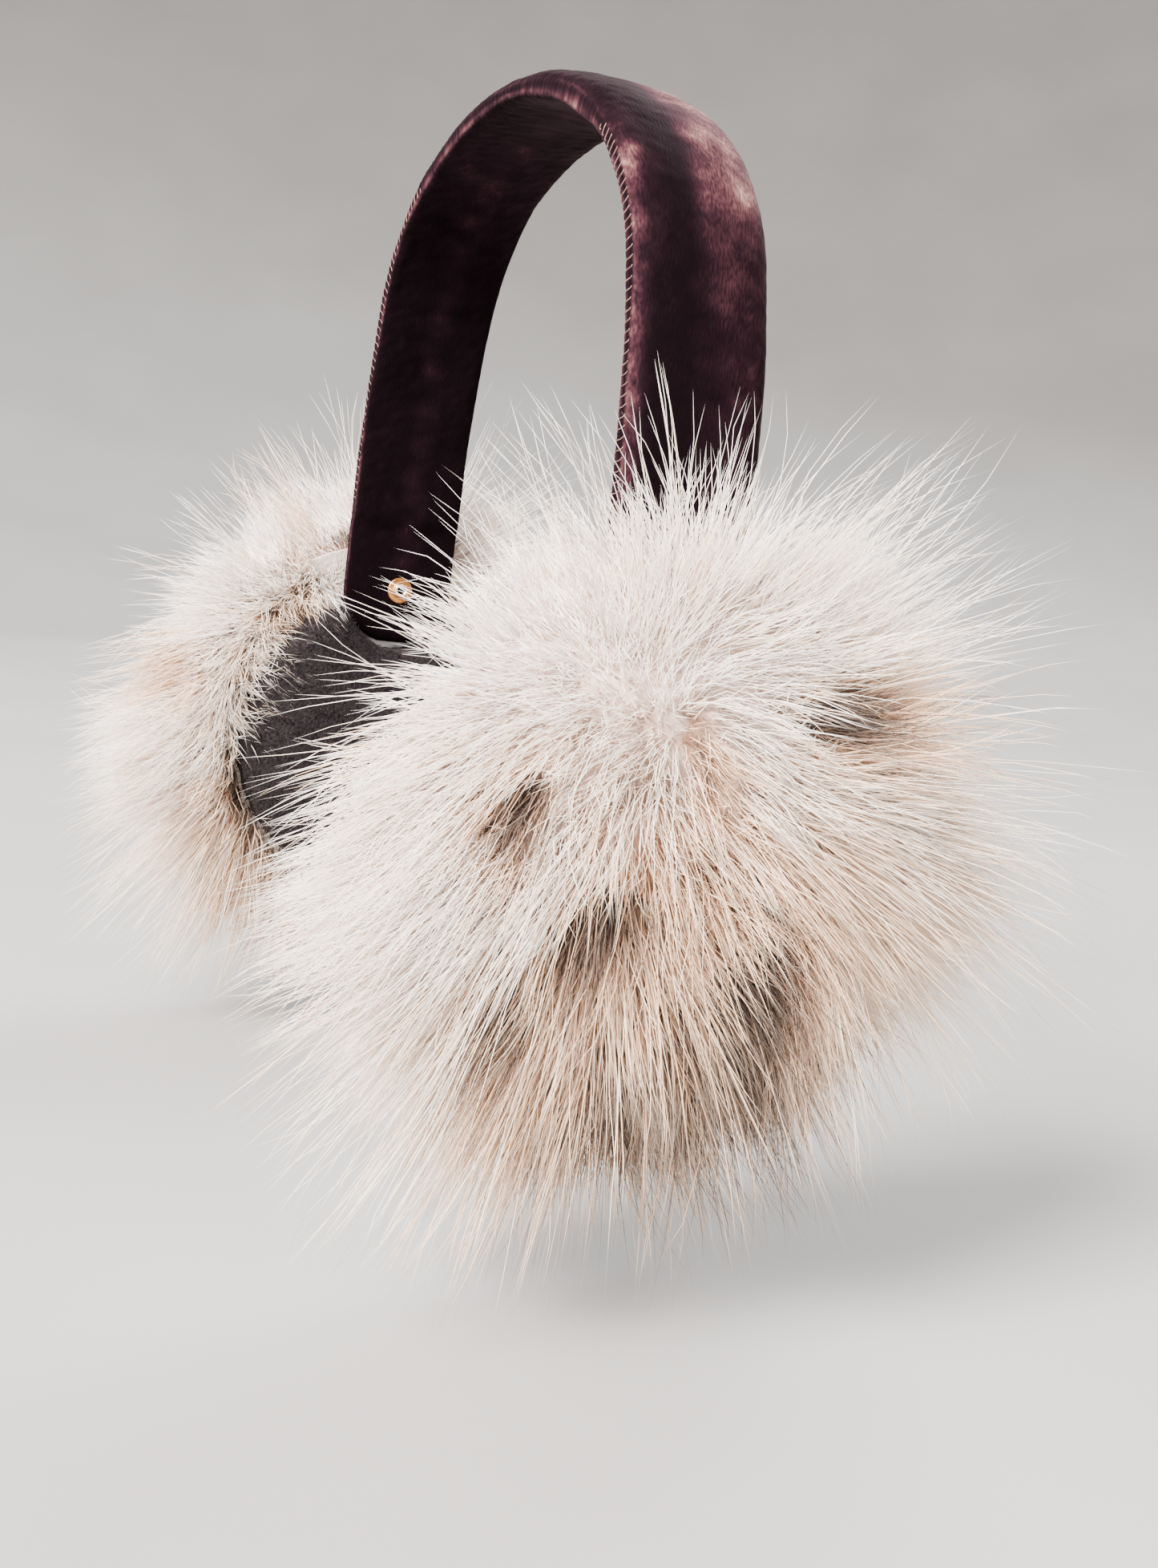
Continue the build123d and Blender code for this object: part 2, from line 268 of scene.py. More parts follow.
# %% Work out the middle line
def middle_line(count=4000):
    """Arrays of length, x, z and heading (radians below level) from the crown's top to the band's tip."""
    arcs = [crown_arc, shoulder_arc, leg_arc]
    lengths = [radius * np.radians(turn) for radius, turn in arcs]
    corners = np.concatenate([[0], np.cumsum(lengths)])
    headings = np.radians(np.concatenate([[0], np.cumsum([turn for _, turn in arcs])]))
    rough_length = corners[-1] + crown_high[2]
    length = np.linspace(0, rough_length, count)
    heading = np.interp(length, corners, headings)
    step = length[1]
    x = np.concatenate([[0], np.cumsum(np.cos(heading[:-1] + np.diff(heading) / 2)) * step])
    drop = np.concatenate([[0], np.cumsum(np.sin(heading[:-1] + np.diff(heading) / 2)) * step])
    z = crown_high[2] - crest - drop
    inside_end = z >= rivet[2] - band_half
    return length[inside_end], x[inside_end], z[inside_end], heading[inside_end]


line_length, line_x, line_z, line_heading = middle_line()
tip_length = line_length[-1]
rivet_length = tip_length - band_half
padding_end = rivet_length - (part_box("closing_thread_right")[0][2] - rivet[2])
print("band: crown to rivet", round(rivet_length * 1000, 1), "mm, leg at x", round(line_x[-1] * 1000, 2))

# %% [markdown]
# ## Velvet sleeve
# The real sleeve is a strip of velvet wrapped round padding and sewn shut by hand. So its section
# is flat inside, domed outside and soft at the edges, it puckers along the edge where the stitches
# pull, it creases inside the tight shoulders, and it thins to a flat round tongue at the rivet.
# It is one surface with two parameters: the length along the band, and the way round the section.
# Each side is its own piece.

# %% Shape the sleeve
around_count = 96
along_count = 320
seam_across = 0.0015
stitch_step = 0.0019
velvet_over = 0.0003
shoulder_length = 0.060


def smooth_step(value, low, high):
    """0 below low, 1 above high, and a smooth cubic between them."""
    t = np.clip((value - low) / (high - low), 0, 1)
    return t * t * (3 - 2 * t)


def sleeve_section(way):
    """Unit section for way (0 to 1 round the band): across from -1 to 1, and out from -1 to 1.

    A superellipse: across = cos^(2/p), out = sin^(2/q), with the inner half squarer than the outer."""
    angle = 2 * np.pi * way
    power = np.where(np.sin(angle) > 0, 2.3, 6.0)
    across = np.sign(np.cos(angle)) * np.abs(np.cos(angle)) ** (2 / 4.0)
    out = np.sign(np.sin(angle)) * np.abs(np.sin(angle)) ** (2 / power)
    return across, out


def band_surface(mirror, length, way, lift=0.0):
    """Points on one half of the sleeve, with the section's across and out there.

    Place = middle line + across * half width + out * thickness, plus creases, seam and puckers."""
    across, out = sleeve_section(way)
    past_rivet = np.clip((length - rivet_length) / band_half, 0, 0.9995)
    thin = smooth_step(length, padding_end - 0.001, padding_end + 0.004)
    slim = 1 - 0.35 * across ** 4 * smooth_step(length, padding_end - 0.012, padding_end)
    outer = (crest + velvet_over) * slim * (1 - thin) + end_half * thin
    inner = (inside + 0.0004) * (1 - thin) + end_half * thin
    edge = -0.0002 * (1 - thin)
    reach = np.where(out > 0, outer + lift - edge, inner + lift + edge)
    offset = edge + out * reach
    offset = offset * np.sqrt(1 - past_rivet ** 10)
    place = np.stack([mirror * length, across * band_half, 0.004 * out], -1)
    facing_in = smooth_step(-out, 0.2, 0.9)
    shoulder = np.exp(-((length - shoulder_length) / 0.024) ** 2)
    crease = ripple(place * [1.0, 0.45, 0.3], 0.010, 3, 20)
    between_edges = 1 - smooth_step(np.abs(across), 0.75, 0.92)
    offset = offset + 0.00045 * crease * shoulder * facing_in * between_edges * (1 - thin)
    offset = offset + 0.00024 * ripple(place * [1, 1, 0.2], 0.018, 4) * (1 - thin) * np.sign(out)
    offset = offset + 0.00008 * ripple(place, 0.0035, 6) * (1 - 0.7 * thin) * np.sign(out)
    seam = np.exp(-((across * band_half - seam_across) / 0.0012) ** 2) * facing_in
    offset = offset + 0.00060 * seam * (1 - 0.6 * thin)
    half = (band_half + velvet_over + lift) * np.sqrt(1 - past_rivet ** 2)
    pucker = np.exp(-((across + 0.95) / 0.12) ** 2) * (1 - thin)
    half = half * (1 - 0.010 * pucker * (1 + np.cos(length / stitch_step * 2 * np.pi)) / 2)
    half = half * (1 + 0.008 * ripple(place * [1, 0, 0], 0.025, 9) * (1 - thin))
    x = np.interp(length, line_length, line_x)
    z = np.interp(length, line_length, line_z)
    heading = np.interp(length, line_length, line_heading)
    x, z = x + offset * np.sin(heading), z + offset * np.cos(heading)
    return np.stack([mirror * x, across * half, z], -1), across, out


def velvet_sheen_and_seam(mirror, length, across, out):
    """Painted sheen, 0 to 1: pale where the back half of the upper band catches the light, on the shoulder,
    at the edges and in creases, plus a broken lighter line along the seam.
    """
    place = np.stack([mirror * length, across * band_half, out * 0.004], -1)
    outer = smooth_step(out, 0.0, 0.25)
    patch = 0.5 + 0.5 * ripple(place, 0.014, 21)
    speckle = ripple(place, 0.0035, 31)
    # Painted sheen: the back half of the outer face is lighter, most of all high on the band, where the
    # domed velvet catches the light.
    back = smooth_step(across, -0.32, 0.20)
    down = 1 - smooth_step(length, 0.048, 0.098)
    light = outer * back * (0.15 + 0.46 * down)
    # Painted sheen on a rubbed patch of pile at the front of the shoulder, and on the pile ruffled at the
    # bend behind it.
    rubbed_sheen = np.exp(-((length - 0.064) / 0.014) ** 2 - ((across + 0.80) / 0.20) ** 2) * outer * 0.22
    ruffled_sheen = np.exp(-((length - 0.066) / 0.009) ** 2 - ((across - 0.62) / 0.20) ** 2)
    ruffled_sheen = ruffled_sheen * outer * 0.42
    # Painted highlights: the front edge, lighter below the shoulder, the band's side edges, and creases
    # inside the crown.
    low = smooth_step(length, 0.045, 0.065)
    front_edge_sheen = np.exp(-((across + 0.97) / 0.12) ** 2) * outer * (0.08 + 0.22 * low)
    rim = np.exp(-((np.abs(across) - 1.0) / 0.02) ** 2) * smooth_step(np.abs(out), 0.1, 0.4) * 0.30
    crown_crease_highlight = (1 - outer) * np.exp(-((length - 0.036) / 0.022) ** 2) * 0.13
    broken = 0.6 + 0.4 * ripple(place, 0.006, 41)
    seam = np.exp(-((across * band_half - seam_across) / 0.0015) ** 2) * (1 - outer) * 0.46 * broken
    base = light + rubbed_sheen + ruffled_sheen + front_edge_sheen + rim + crown_crease_highlight + seam
    return np.clip(base * (0.62 + 0.50 * patch) + 0.07 * speckle * (0.35 + base), 0, 1)


def velvet_sleeve(mirror, name):
    """One half of the sleeve as a closed piece, with its painted sheen and seam line stored as a value on
    each point.
    """
    length = np.linspace(0, 1, along_count)
    length = tip_length * (length - 0.04 * np.sin(np.pi * length) * length)
    length, way = np.meshgrid(length[:-1], np.arange(around_count) / around_count, indexing="ij")
    points, across, out = band_surface(mirror, length, way)
    if mirror < 0:
        points, length, across, out = (grid[:, ::-1] for grid in (points, length, across, out))
    piece = ring_tube(name, points, points[0].mean(0), points[-1].mean(0))
    sheen_and_seam = velvet_sheen_and_seam(mirror, length, across, out)
    add_values(piece, "sheen_and_seam", np.concatenate([sheen_and_seam.ravel(), [sheen_and_seam[0].mean(), sheen_and_seam[-1].mean()]]))
    add_values(piece, "run", mirror * np.concatenate([length.ravel(), [0, tip_length]]))
    add_values(piece, "cross", np.concatenate([(across * band_half).ravel(), [0, 0]]))
    return piece


def bend_with_arm(piece):
    """Bake the piece's placement into its mesh; it is not bent with an arm."""
    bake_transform(piece)


sleeves = {side: velvet_sleeve(mirror, "velvet_" + side) for side, mirror in sides}
for piece in sleeves.values():
    print(piece.name, len(piece.data.polygons), "faces")

# %% [markdown]
# ## Velvet's finish
# Velvet is dark where the pile points at the eye and pale where it leans away. Sheen gives the
# pale edge of a curve, and the stored value paints more sheen into the colour where the band
# catches the light, with a lighter line along the seam.
# Short streaks of fine noise, longer across the band than along it, stand for the pile itself.

# %% Make the velvet
def velvet_finish():
    """Velvet: colour from the stored painted sheen and seam line and from streaks, a weak shader sheen, and
    a bump of fine pile.
    """
    made, tree, shader = new_material("aubergine_velvet", Roughness=0.9, Sheen_Weight=0.07,
                                      Sheen_Roughness=0.35, Sheen_Tint=(0.60, 0.34, 0.42, 1),
                                      Specular_IOR_Level=0.03)
    run = node(tree, "Attribute", attribute_name="run").outputs["Fac"]
    cross = node(tree, "Attribute", attribute_name="cross").outputs["Fac"]
    flat = node(tree, "CombineXYZ", {"X": run, "Y": cross}).outputs["Vector"]
    streak_place = node(tree, "Mapping", {"Vector": flat, "Rotation": (0, 0, 0.5), "Scale": (0.8, 2.6, 1.0)})
    streak_place = streak_place.outputs["Vector"]
    streak = node(tree, "TexNoise", {"Vector": streak_place, "Scale": 950.0, "Detail": 4.0}).outputs["Fac"]
    blotch = node(tree, "TexNoise", {"Vector": flat, "Scale": 210.0, "Detail": 5.0}).outputs["Fac"]
    sheen_and_seam = node(tree, "Attribute", attribute_name="sheen_and_seam").outputs["Fac"]
    rough = node(tree, "Math", {0: streak, 1: 0.5}, operation="SUBTRACT").outputs[0]
    wide = node(tree, "Math", {0: blotch, 1: 0.5}, operation="SUBTRACT").outputs[0]
    rough = node(tree, "Math", {0: rough, 1: 1.5}, operation="MULTIPLY").outputs[0]
    wide = node(tree, "Math", {0: wide, 1: 0.9}, operation="MULTIPLY").outputs[0]
    both = node(tree, "Math", {0: rough, 1: wide}, operation="ADD").outputs[0]
    share = node(tree, "MapRange", {"Value": sheen_and_seam, "To Min": 0.10, "To Max": 1.0}).outputs["Result"]
    both = node(tree, "Math", {0: both, 1: share}, operation="MULTIPLY").outputs[0]
    level = node(tree, "Math", {0: sheen_and_seam, 1: both}, operation="ADD", use_clamp=True).outputs[0]
    # The ramp runs from the near-black of the pile to the pale mauve of painted sheen.
    stops = [(0.0, 0.0022, 0.0007, 0.0014), (0.16, 0.007, 0.0025, 0.0045), (0.34, 0.026, 0.009, 0.013),
             (0.56, 0.075, 0.033, 0.034), (0.78, 0.165, 0.090, 0.083), (1.0, 0.310, 0.195, 0.175)]
    tree.links.new(ramp(tree, level, stops), shader.inputs["Base Color"])
    add_bump(tree, shader, streak, 0.6, 0.00025)
    return made


velvet = velvet_finish()
for side, piece in sleeves.items():
    piece.data.materials.append(velvet)
    bend_with_arm(piece)
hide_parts("velvet_sleeve_crown", "velvet_sleeve_right")
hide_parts("velvet_sleeve_left")
print("velvet on", [piece.name for piece in sleeves.values()])

# %% [markdown]
# ## Hand stitches
# The strip of velvet is drawn shut on the inner face with a ladder of slanting stitches, and the
# front edge is overcast with small tight ones. Each row is one thin tube that follows the velvet's
# surface: it swings from side to side of the seam, and it dips into the pile between stitches.

# %% Sew the velvet
ladder_step = 0.0042
ladder_radius = 0.00020
edge_radius = 0.00011
edge_start = 0.050


def thread_tube(name, path, radius):
    """Closed round tube of six sides along a path (n, 3)."""
    along = np.gradient(path, axis=0)
    along /= np.linalg.norm(along, axis=1)[:, None]
    one = np.cross(along, [0.0, 1.0, 0.0])
    one /= np.linalg.norm(one, axis=1)[:, None]
    two = np.cross(along, one)
    angle = (2 * np.pi * np.arange(6) / 6)[None, :, None]
    rings = path[:, None] + radius * (np.cos(angle) * one[:, None] - np.sin(angle) * two[:, None])
    return ring_tube(name, rings[:, ::-1], path[0], path[-1])


def way_at(across, inner):
    """Way round the section where it is this far across, on the inner or the outer face."""
    angle = np.arccos(np.sign(across) * np.abs(across) ** 2)
    return np.where(inner, 1 - angle / (2 * np.pi), angle / (2 * np.pi))


def ladder_thread(mirror, name):
    """Thread of the closing seam: across = seam +- half a stitch, sunk where it turns."""
    length = np.linspace(0.0006, padding_end - 0.002, 1200)
    turn = length / ladder_step * 2 * np.pi
    across = (seam_across + 0.0007 * np.clip(1.6 * np.sin(turn), -1, 1)) / band_half
    sunk = -0.00025 * np.abs(np.sin(turn)) ** 6
    path, _, _ = band_surface(mirror, length, way_at(across, True), sunk + 0.00002)
    return thread_tube(name, path, ladder_radius)


def edge_thread(mirror, name):
    """Overcast stitches on the front edge: the thread winds over the edge once in each step."""
    length = np.linspace(edge_start, padding_end - 0.003, 1300)
    turn = length / stitch_step * 2 * np.pi
    way = 0.5 - 0.020 * np.cos(turn) + 0.008 * np.sin(length / 0.011)
    over = 0.00010 * np.sin(turn) - 0.00005
    path, _, _ = band_surface(mirror, length, way, over)
    return thread_tube(name, path, edge_radius)


dark_thread = simple_finish("dark_thread", (0.050, 0.024, 0.030), (0.190, 0.110, 0.110), 2500, 0.7)
edge_cotton = simple_finish("edge_cotton", (0.040, 0.016, 0.018), (0.240, 0.130, 0.105), 900, 0.7)
for side, mirror in sides:
    ladder = ladder_thread(mirror, "ladder_thread_" + side)
    edging = edge_thread(mirror, "edge_thread_" + side)
    ladder.data.materials.append(dark_thread)
    edging.data.materials.append(edge_cotton)
    for thread in (ladder, edging):
        bend_with_arm(thread)
    if side == "right":
        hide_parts("closing_thread_crown", "closing_thread_right")
    else:
        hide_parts("closing_thread_left")
print("seam sewn to", round(padding_end * 1000), "mm from the top")

# %% [markdown]
# ## Brass
# The rivet is a brass tube whose end is rolled over a thin dished washer. Both are turned shapes,
# so each is a closed profile spun round the rivet's axis. The rolled lip sits a little off the
# washer's centre, as a hand-set rivet does.

# %% Turn the brass
def spun(name, profile, centre, mirror, around=72):
    """Closed profile of (x, radius) pairs spun round the X axis through centre."""
    profile = np.array(profile)
    angle = 2 * np.pi * np.arange(around) / around
    count = len(profile)
    x = np.repeat(profile[:, 0][:, None], around, 1)
    points = np.stack([mirror * x, centre[1] + profile[:, 1][:, None] * np.cos(angle),
                       centre[2] + profile[:, 1][:, None] * np.sin(angle)], -1).reshape(-1, 3)
    row = np.arange(count)[:, None]
    col = np.arange(around)[None, :]
    after, below = (col + 1) % around, (row + 1) % count
    quads = np.stack([row * around + col, row * around + after, below * around + after,
                      below * around + col], -1).reshape(-1, 4)
    if mirror > 0:
        quads = quads[:, ::-1]
    return mesh_object(name, points, quads, np.zeros((0, 3), int))


def arc_points(centre_x, centre_r, size, start, stop, count=14):
    """Points on a small arc of a profile; angles in degrees, 0 towards +x and 90 outwards."""
    angle = np.radians(np.linspace(start, stop, count))
    return [(centre_x + size * np.cos(a), centre_r + size * np.sin(a)) for a in angle]


def washer_profile():
    """Dished washer: thicker at its rolled rim, sunk by a tenth of a millimetre at its middle."""
    radius = washer_high[2] - rivet[2]
    back, face = washer_high[0], washer_low[0]
    rim = (back - face) / 2
    bore = 0.0015
    outer = arc_points(back - rim, radius - rim, rim, 90, 180)
    dish = [(face + 0.00008, radius - 0.0009), (face + 0.00016, radius - 0.0014),
            (face + 0.00010, 0.0019)]
    return [(back, bore), (back, radius - rim)] + outer + dish + [(face + 0.00005, bore)]


def rivet_profile():
    """Tubular rivet: flat head outside, barrel, and a lip rolled over the washer inside."""
    head, head_back = curl_high[0], curl_high[0] - 0.0008
    lip = (washer_low[0] - curl_low[0]) / 2
    barrel, bore, head_radius = 0.0014, 0.0010, 0.0035
    lip_x = washer_low[0] - lip
    roll = arc_points(lip_x, barrel, lip, 0, 90) + arc_points(lip_x, barrel, lip, 90, 180)
    inner = [(washer_low[0] - lip * 1.7, bore + 0.0001), (washer_low[0], bore)]
    shank = [(head - 0.00075, bore), (head - 0.00045, 0.0), (head, 0.0)]
    top = arc_points(head - 0.0003, head_radius - 0.0003, 0.0003, 0, 90)
    under = [(head_back, head_radius), (head_back, barrel), (washer_low[0], barrel)]
    return roll + inner + shank + top + under


def brass_finish(name, dark, light, rough):
    """Worn brass: warm base, brown tarnish in patches, fine turned scratches."""
    made, tree, shader = new_material(name, Metallic=1.0)
    patch = grain(tree, 420, 6.0)
    tree.links.new(ramp(tree, patch, [(0.35, *dark), (0.62, *light)]), shader.inputs["Base Color"])
    spread = node(tree, "MapRange", {"Value": patch, "To Min": rough + 0.18, "To Max": rough - 0.06})
    tree.links.new(spread.outputs["Result"], shader.inputs["Roughness"])
    add_bump(tree, shader, grain(tree, 2600, 3.0), 0.4, 0.00004)
    return made


washer_brass = brass_finish("tarnished_brass", (0.30, 0.115, 0.030), (0.66, 0.30, 0.085), 0.36)
# The rolled lip is paler brass than the washer: a painted highlight on the curl.
lip_brass_highlight = brass_finish("brass_painted_highlight", (0.80, 0.56, 0.28), (1.0, 0.86, 0.60), 0.24)
for side, mirror in sides:
    washer = spun("washer_" + side, washer_profile(), rivet, mirror)
    washer.data.materials.append(washer_brass)
    tube = spun("tube_rivet_" + side, rivet_profile(), rivet + [0, 0.0001, 0.0001], mirror)
    tube.data.materials.append(lip_brass_highlight)
    for piece, cad in ((washer, "brass_washer_"), (tube, "rivet_")):
        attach(piece, side + "_arm")
        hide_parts(cad + side)
print("rivet head at x", curl_high[0], "lip at x", curl_low[0])

# %% [markdown]
# ## Where the hair grows
# The pelt is a dome with a rim and a flat ring behind it. Roots are spread evenly over its area:
# the place down the profile comes from the running sum of its girth, and the way round it comes
# from the golden angle, which never repeats. Little random shifts hide the spiral.

# %% Spread the roots
pelt_radius = pelt_high[1]
dome_rise = 0.0242
pelt_rim = pelt_high[0] - dome_rise
pelt_back = pelt_low[0]
pad_middle = pad_low[2] + pad_high[1]
golden = np.pi * (3 - np.sqrt(5))
bare_round_rivet = 0.0152


def pelt_profile():
    """x, radius and outward normal down the pelt: over the dome, along the rim, across the back."""
    angle = np.linspace(0, np.pi / 2, 300)
    dome = np.stack([pelt_rim + dome_rise * np.cos(angle), pelt_radius * np.sin(angle)], -1)
    dome_out = np.stack([np.cos(angle) / dome_rise, np.sin(angle) / pelt_radius], -1)
    rim_x = np.linspace(pelt_rim, pelt_back + 0.0012, 40)
    rim = np.stack([rim_x, np.full(40, pelt_radius)], -1)
    back_r = np.linspace(pelt_radius, pelt_radius - 0.009, 40)
    back = np.stack([np.full(40, pelt_back + 0.0006), back_r], -1)
    points = np.concatenate([dome, rim, back])
    back_out = np.linspace([-0.55, 0.84], [-0.97, -0.10], 40)
    out = np.concatenate([dome_out, np.tile([0.0, 1.0], (40, 1)), back_out])
    return points, out / np.linalg.norm(out, axis=1)[:, None]


def spread_roots(count, seed, first=0.0):
    """Roots and normals (count, 3), even over the pelt from a share of its area to the end."""
    rng = np.random.default_rng(seed)
    points, out = pelt_profile()
    step = np.linalg.norm(np.diff(points, axis=0), axis=1)
    area = np.concatenate([[0], np.cumsum(step * (points[1:, 1] + points[:-1, 1]))])
    place = area[-1] * (first + (1 - first) * (np.arange(count) + rng.uniform(0, 1, count)) / count)
    x, radius = np.interp(place, area, points[:, 0]), np.interp(place, area, points[:, 1])
    out_x, out_r = np.interp(place, area, out[:, 0]), np.interp(place, area, out[:, 1])
    angle = golden * np.arange(count) + rng.uniform(-0.4, 0.4, count)
    around = np.stack([np.cos(angle), np.sin(angle)], -1)
    root = np.concatenate([x[:, None], radius[:, None] * around], 1)
    normal = np.concatenate([out_x[:, None], out_r[:, None] * around], 1)
    from_pad = np.hypot(root[:, 1], root[:, 2] - pad_middle)
    from_rivet = np.hypot(root[:, 1], root[:, 2] - rivet[2])
    behind = root[:, 0] < pelt_back + 0.001
    bare = behind & ((from_pad < pad_high[1] + 0.0003) | (from_rivet < bare_round_rivet))
    return root[~bare], normal[~bare]


print("pelt: rim at x", round(pelt_rim * 1000, 2), "mm, back at", round(pelt_back * 1000, 2), "mm")

# %% [markdown]
# ## The coat's pattern
# The fur is a spotted pelt: white above and at the front side, peach in the middle, ticked brown
# below, with a few dark spots. One function gives the tone at a place on the muff, from 0 for a
# black-brown spot to 1 for a white hair with a brown tip. Hair and the wool under it both use it.

# %% Tone of the coat
# A spot is its middle in millimetres (y, z), its two half sizes, its slant in degrees, its depth.
tone_limits = (0.01, 0.84)
right_spots = [(18, 29, 9, 5.5, 5, 1.0), (-38, 10, 4.4, 7.5, -15, 0.92), (-25, -7, 8.5, 4.6, 45, 1.0),
               (3, -14, 9, 6.5, 15, 1.0), (-36, -22, 3.8, 9.5, 8, 1.0), (-8, 19, 4, 7, 10, 0.5),
               (-15, -43, 9, 4, 5, 0.75), (12, -46, 10, 4.2, 5, 0.75), (7, -31, 8, 4, 10, 0.65),
               (-18, -31, 4, 6, 0, 0.55), (28, -26, 9, 5.5, 30, 0.7), (48, 34, 8, 5, 20, 0.7)]
left_spots = [(-24, 22, 9, 5, -20, 0.9), (20, 14, 5, 8, 15, 0.8), (-8, -10, 8, 4, -35, 0.95),
              (26, -22, 7, 4, -20, 0.8), (-36, -18, 4, 8, 8, 0.8), (6, -36, 8, 4, 5, 0.7),
              (-28, 50, 8, 5, 20, 0.5), (-52, 12, 5, 8, 0, 0.5)]


def spot_depth(place, spots):
    """How far inside a spot each place (n, 3) is, 0 to 1: soft ellipses with wandering edges."""
    y, z = place[..., 1] * 1000, place[..., 2] * 1000
    wander_y, wander_z = 1.3 * ripple(place, 0.010, 53), 1.3 * ripple(place, 0.010, 54)
    depth = np.zeros(y.shape)
    for at_y, at_z, wide, high, slant, most in spots:
        turn = np.radians(slant)
        dy, dz = y - at_y + wander_y, z - at_z + wander_z
        along = (dy * np.cos(turn) + dz * np.sin(turn)) / wide
        across = (dz * np.cos(turn) - dy * np.sin(turn)) / high
        depth = np.maximum(depth, most * np.exp(-(along ** 2 + across ** 2) ** 1.8))
    return depth


def coat_tone(place, spots):
    """Tone from 0 to 1 at places (n, 3) in metres measured from the muff's middle."""
    y, z = place[:, 1] * 1000, place[:, 2] * 1000
    drift = ripple(place, 0.030, 51)
    fine = ripple(place, 0.008, 52)
    peach = np.exp(-((y + 2) / 29) ** 2 - ((z + 6) / 18) ** 2)
    ticked = smooth_step(-z - 0.15 * np.abs(y), 12, 30) * np.exp(-((y - 6) / 34) ** 4)
    cream = smooth_step(-z, 5, 30) * smooth_step(-y, 10, 35)
    grey = np.exp(-((y - 30) / 13) ** 2 - ((z - 26) / 9) ** 2)
    shade = smooth_step(y, 8, 40) * smooth_step(-z, -22, 5)
    tone = 0.78 - 0.40 * peach - 0.50 * ticked - 0.15 * cream - 0.30 * grey - 0.15 * shade
    tone += 0.05 * drift + 0.06 * fine
    return np.clip(tone * (1 - spot_depth(place, spots)), *tone_limits)


print(len(right_spots), "spots on the right muff,", len(left_spots), "on the left")

# %% [markdown]
# ## How a hair grows
# Hair leaves the skin away from a whorl above the dome's middle, stands up near the whorl and
# lies lower further out. A hair is a curve with one bend:
# place(t) = root + length (t direction + t^2 bend), plus a small crimp. Then hairs lean to a
# neighbour chosen as the leader of their lock, so that the locks end in points. At last, hair is
# kept inside a box, and clear of the fan that the band's end sweeps as the muff turns.

# %% Grow the hair
whorl = np.array([-0.011, 0.024])
fan_half = np.radians(43)
fan_sides = np.radians(130)
fan_front = 0.0764
flat_end_front = 0.0739
flat_end_reach = 0.0150
flat_end_round = 0.0155
box_low = np.array([0.0605, -0.0790, -0.0812])
box_high = np.array([0.1345, 0.0790, 0.112])


def flow_at(root):
    """Unit direction of the coat in the muff's plane (n, 3), and the distance from the whorl."""
    away = root[:, 1:] - whorl
    distance = np.linalg.norm(away, axis=1)
    away = away / (distance[:, None] + 1e-5)
    swirl = 0.40 * ripple(root, 0.028, 61) + 0.22 * ripple(root, 0.009, 62)
    cos, sin = np.cos(swirl), np.sin(swirl)
    away = np.stack([away[:, 0] * cos - away[:, 1] * sin, away[:, 0] * sin + away[:, 1] * cos], -1)
    away[:, 1] -= 0.15
    away /= np.linalg.norm(away, axis=1)[:, None]
    return np.concatenate([np.zeros((len(root), 1)), away], 1), distance


def coat_length(root, distance):
    """Share of the full length: long above and at the sides, short at the whorl and low down."""
    y, z = root[:, 1], root[:, 2]
    near = smooth_step(distance, 0.006, 0.034)
    below = smooth_step(-z, 0.004, 0.034) * smooth_step(y, -0.034, -0.010)
    low_back = smooth_step(-z, -0.004, 0.024) * smooth_step(y, 0.004, 0.030)
    before_rivet = smooth_step(z, 0.000, 0.018) * smooth_step(-y, 0.012, 0.030)
    share = (0.62 + 0.46 * near) * (1 - 0.26 * below)
    return share * (1 - 0.32 * low_back) * (1 - 0.20 * before_rivet)


def part_at_spots(root, direction, length, spots):
    """Part the hair: cut what would cross a spot from outside so that it ends at the spot's edge."""
    t = np.linspace(0.15, 1.0, 9)
    places = root[:, None] + length[:, None, None] * t[None, :, None] * direction[:, None]
    inside = spot_depth(places, spots) > 0.52
    crossing = inside.any(1) & ~inside[:, :3].any(1)
    cut_at = t[inside.argmax(1)] - 0.08
    return length * np.where(crossing, np.maximum(cut_at, 0.3), 1.0)


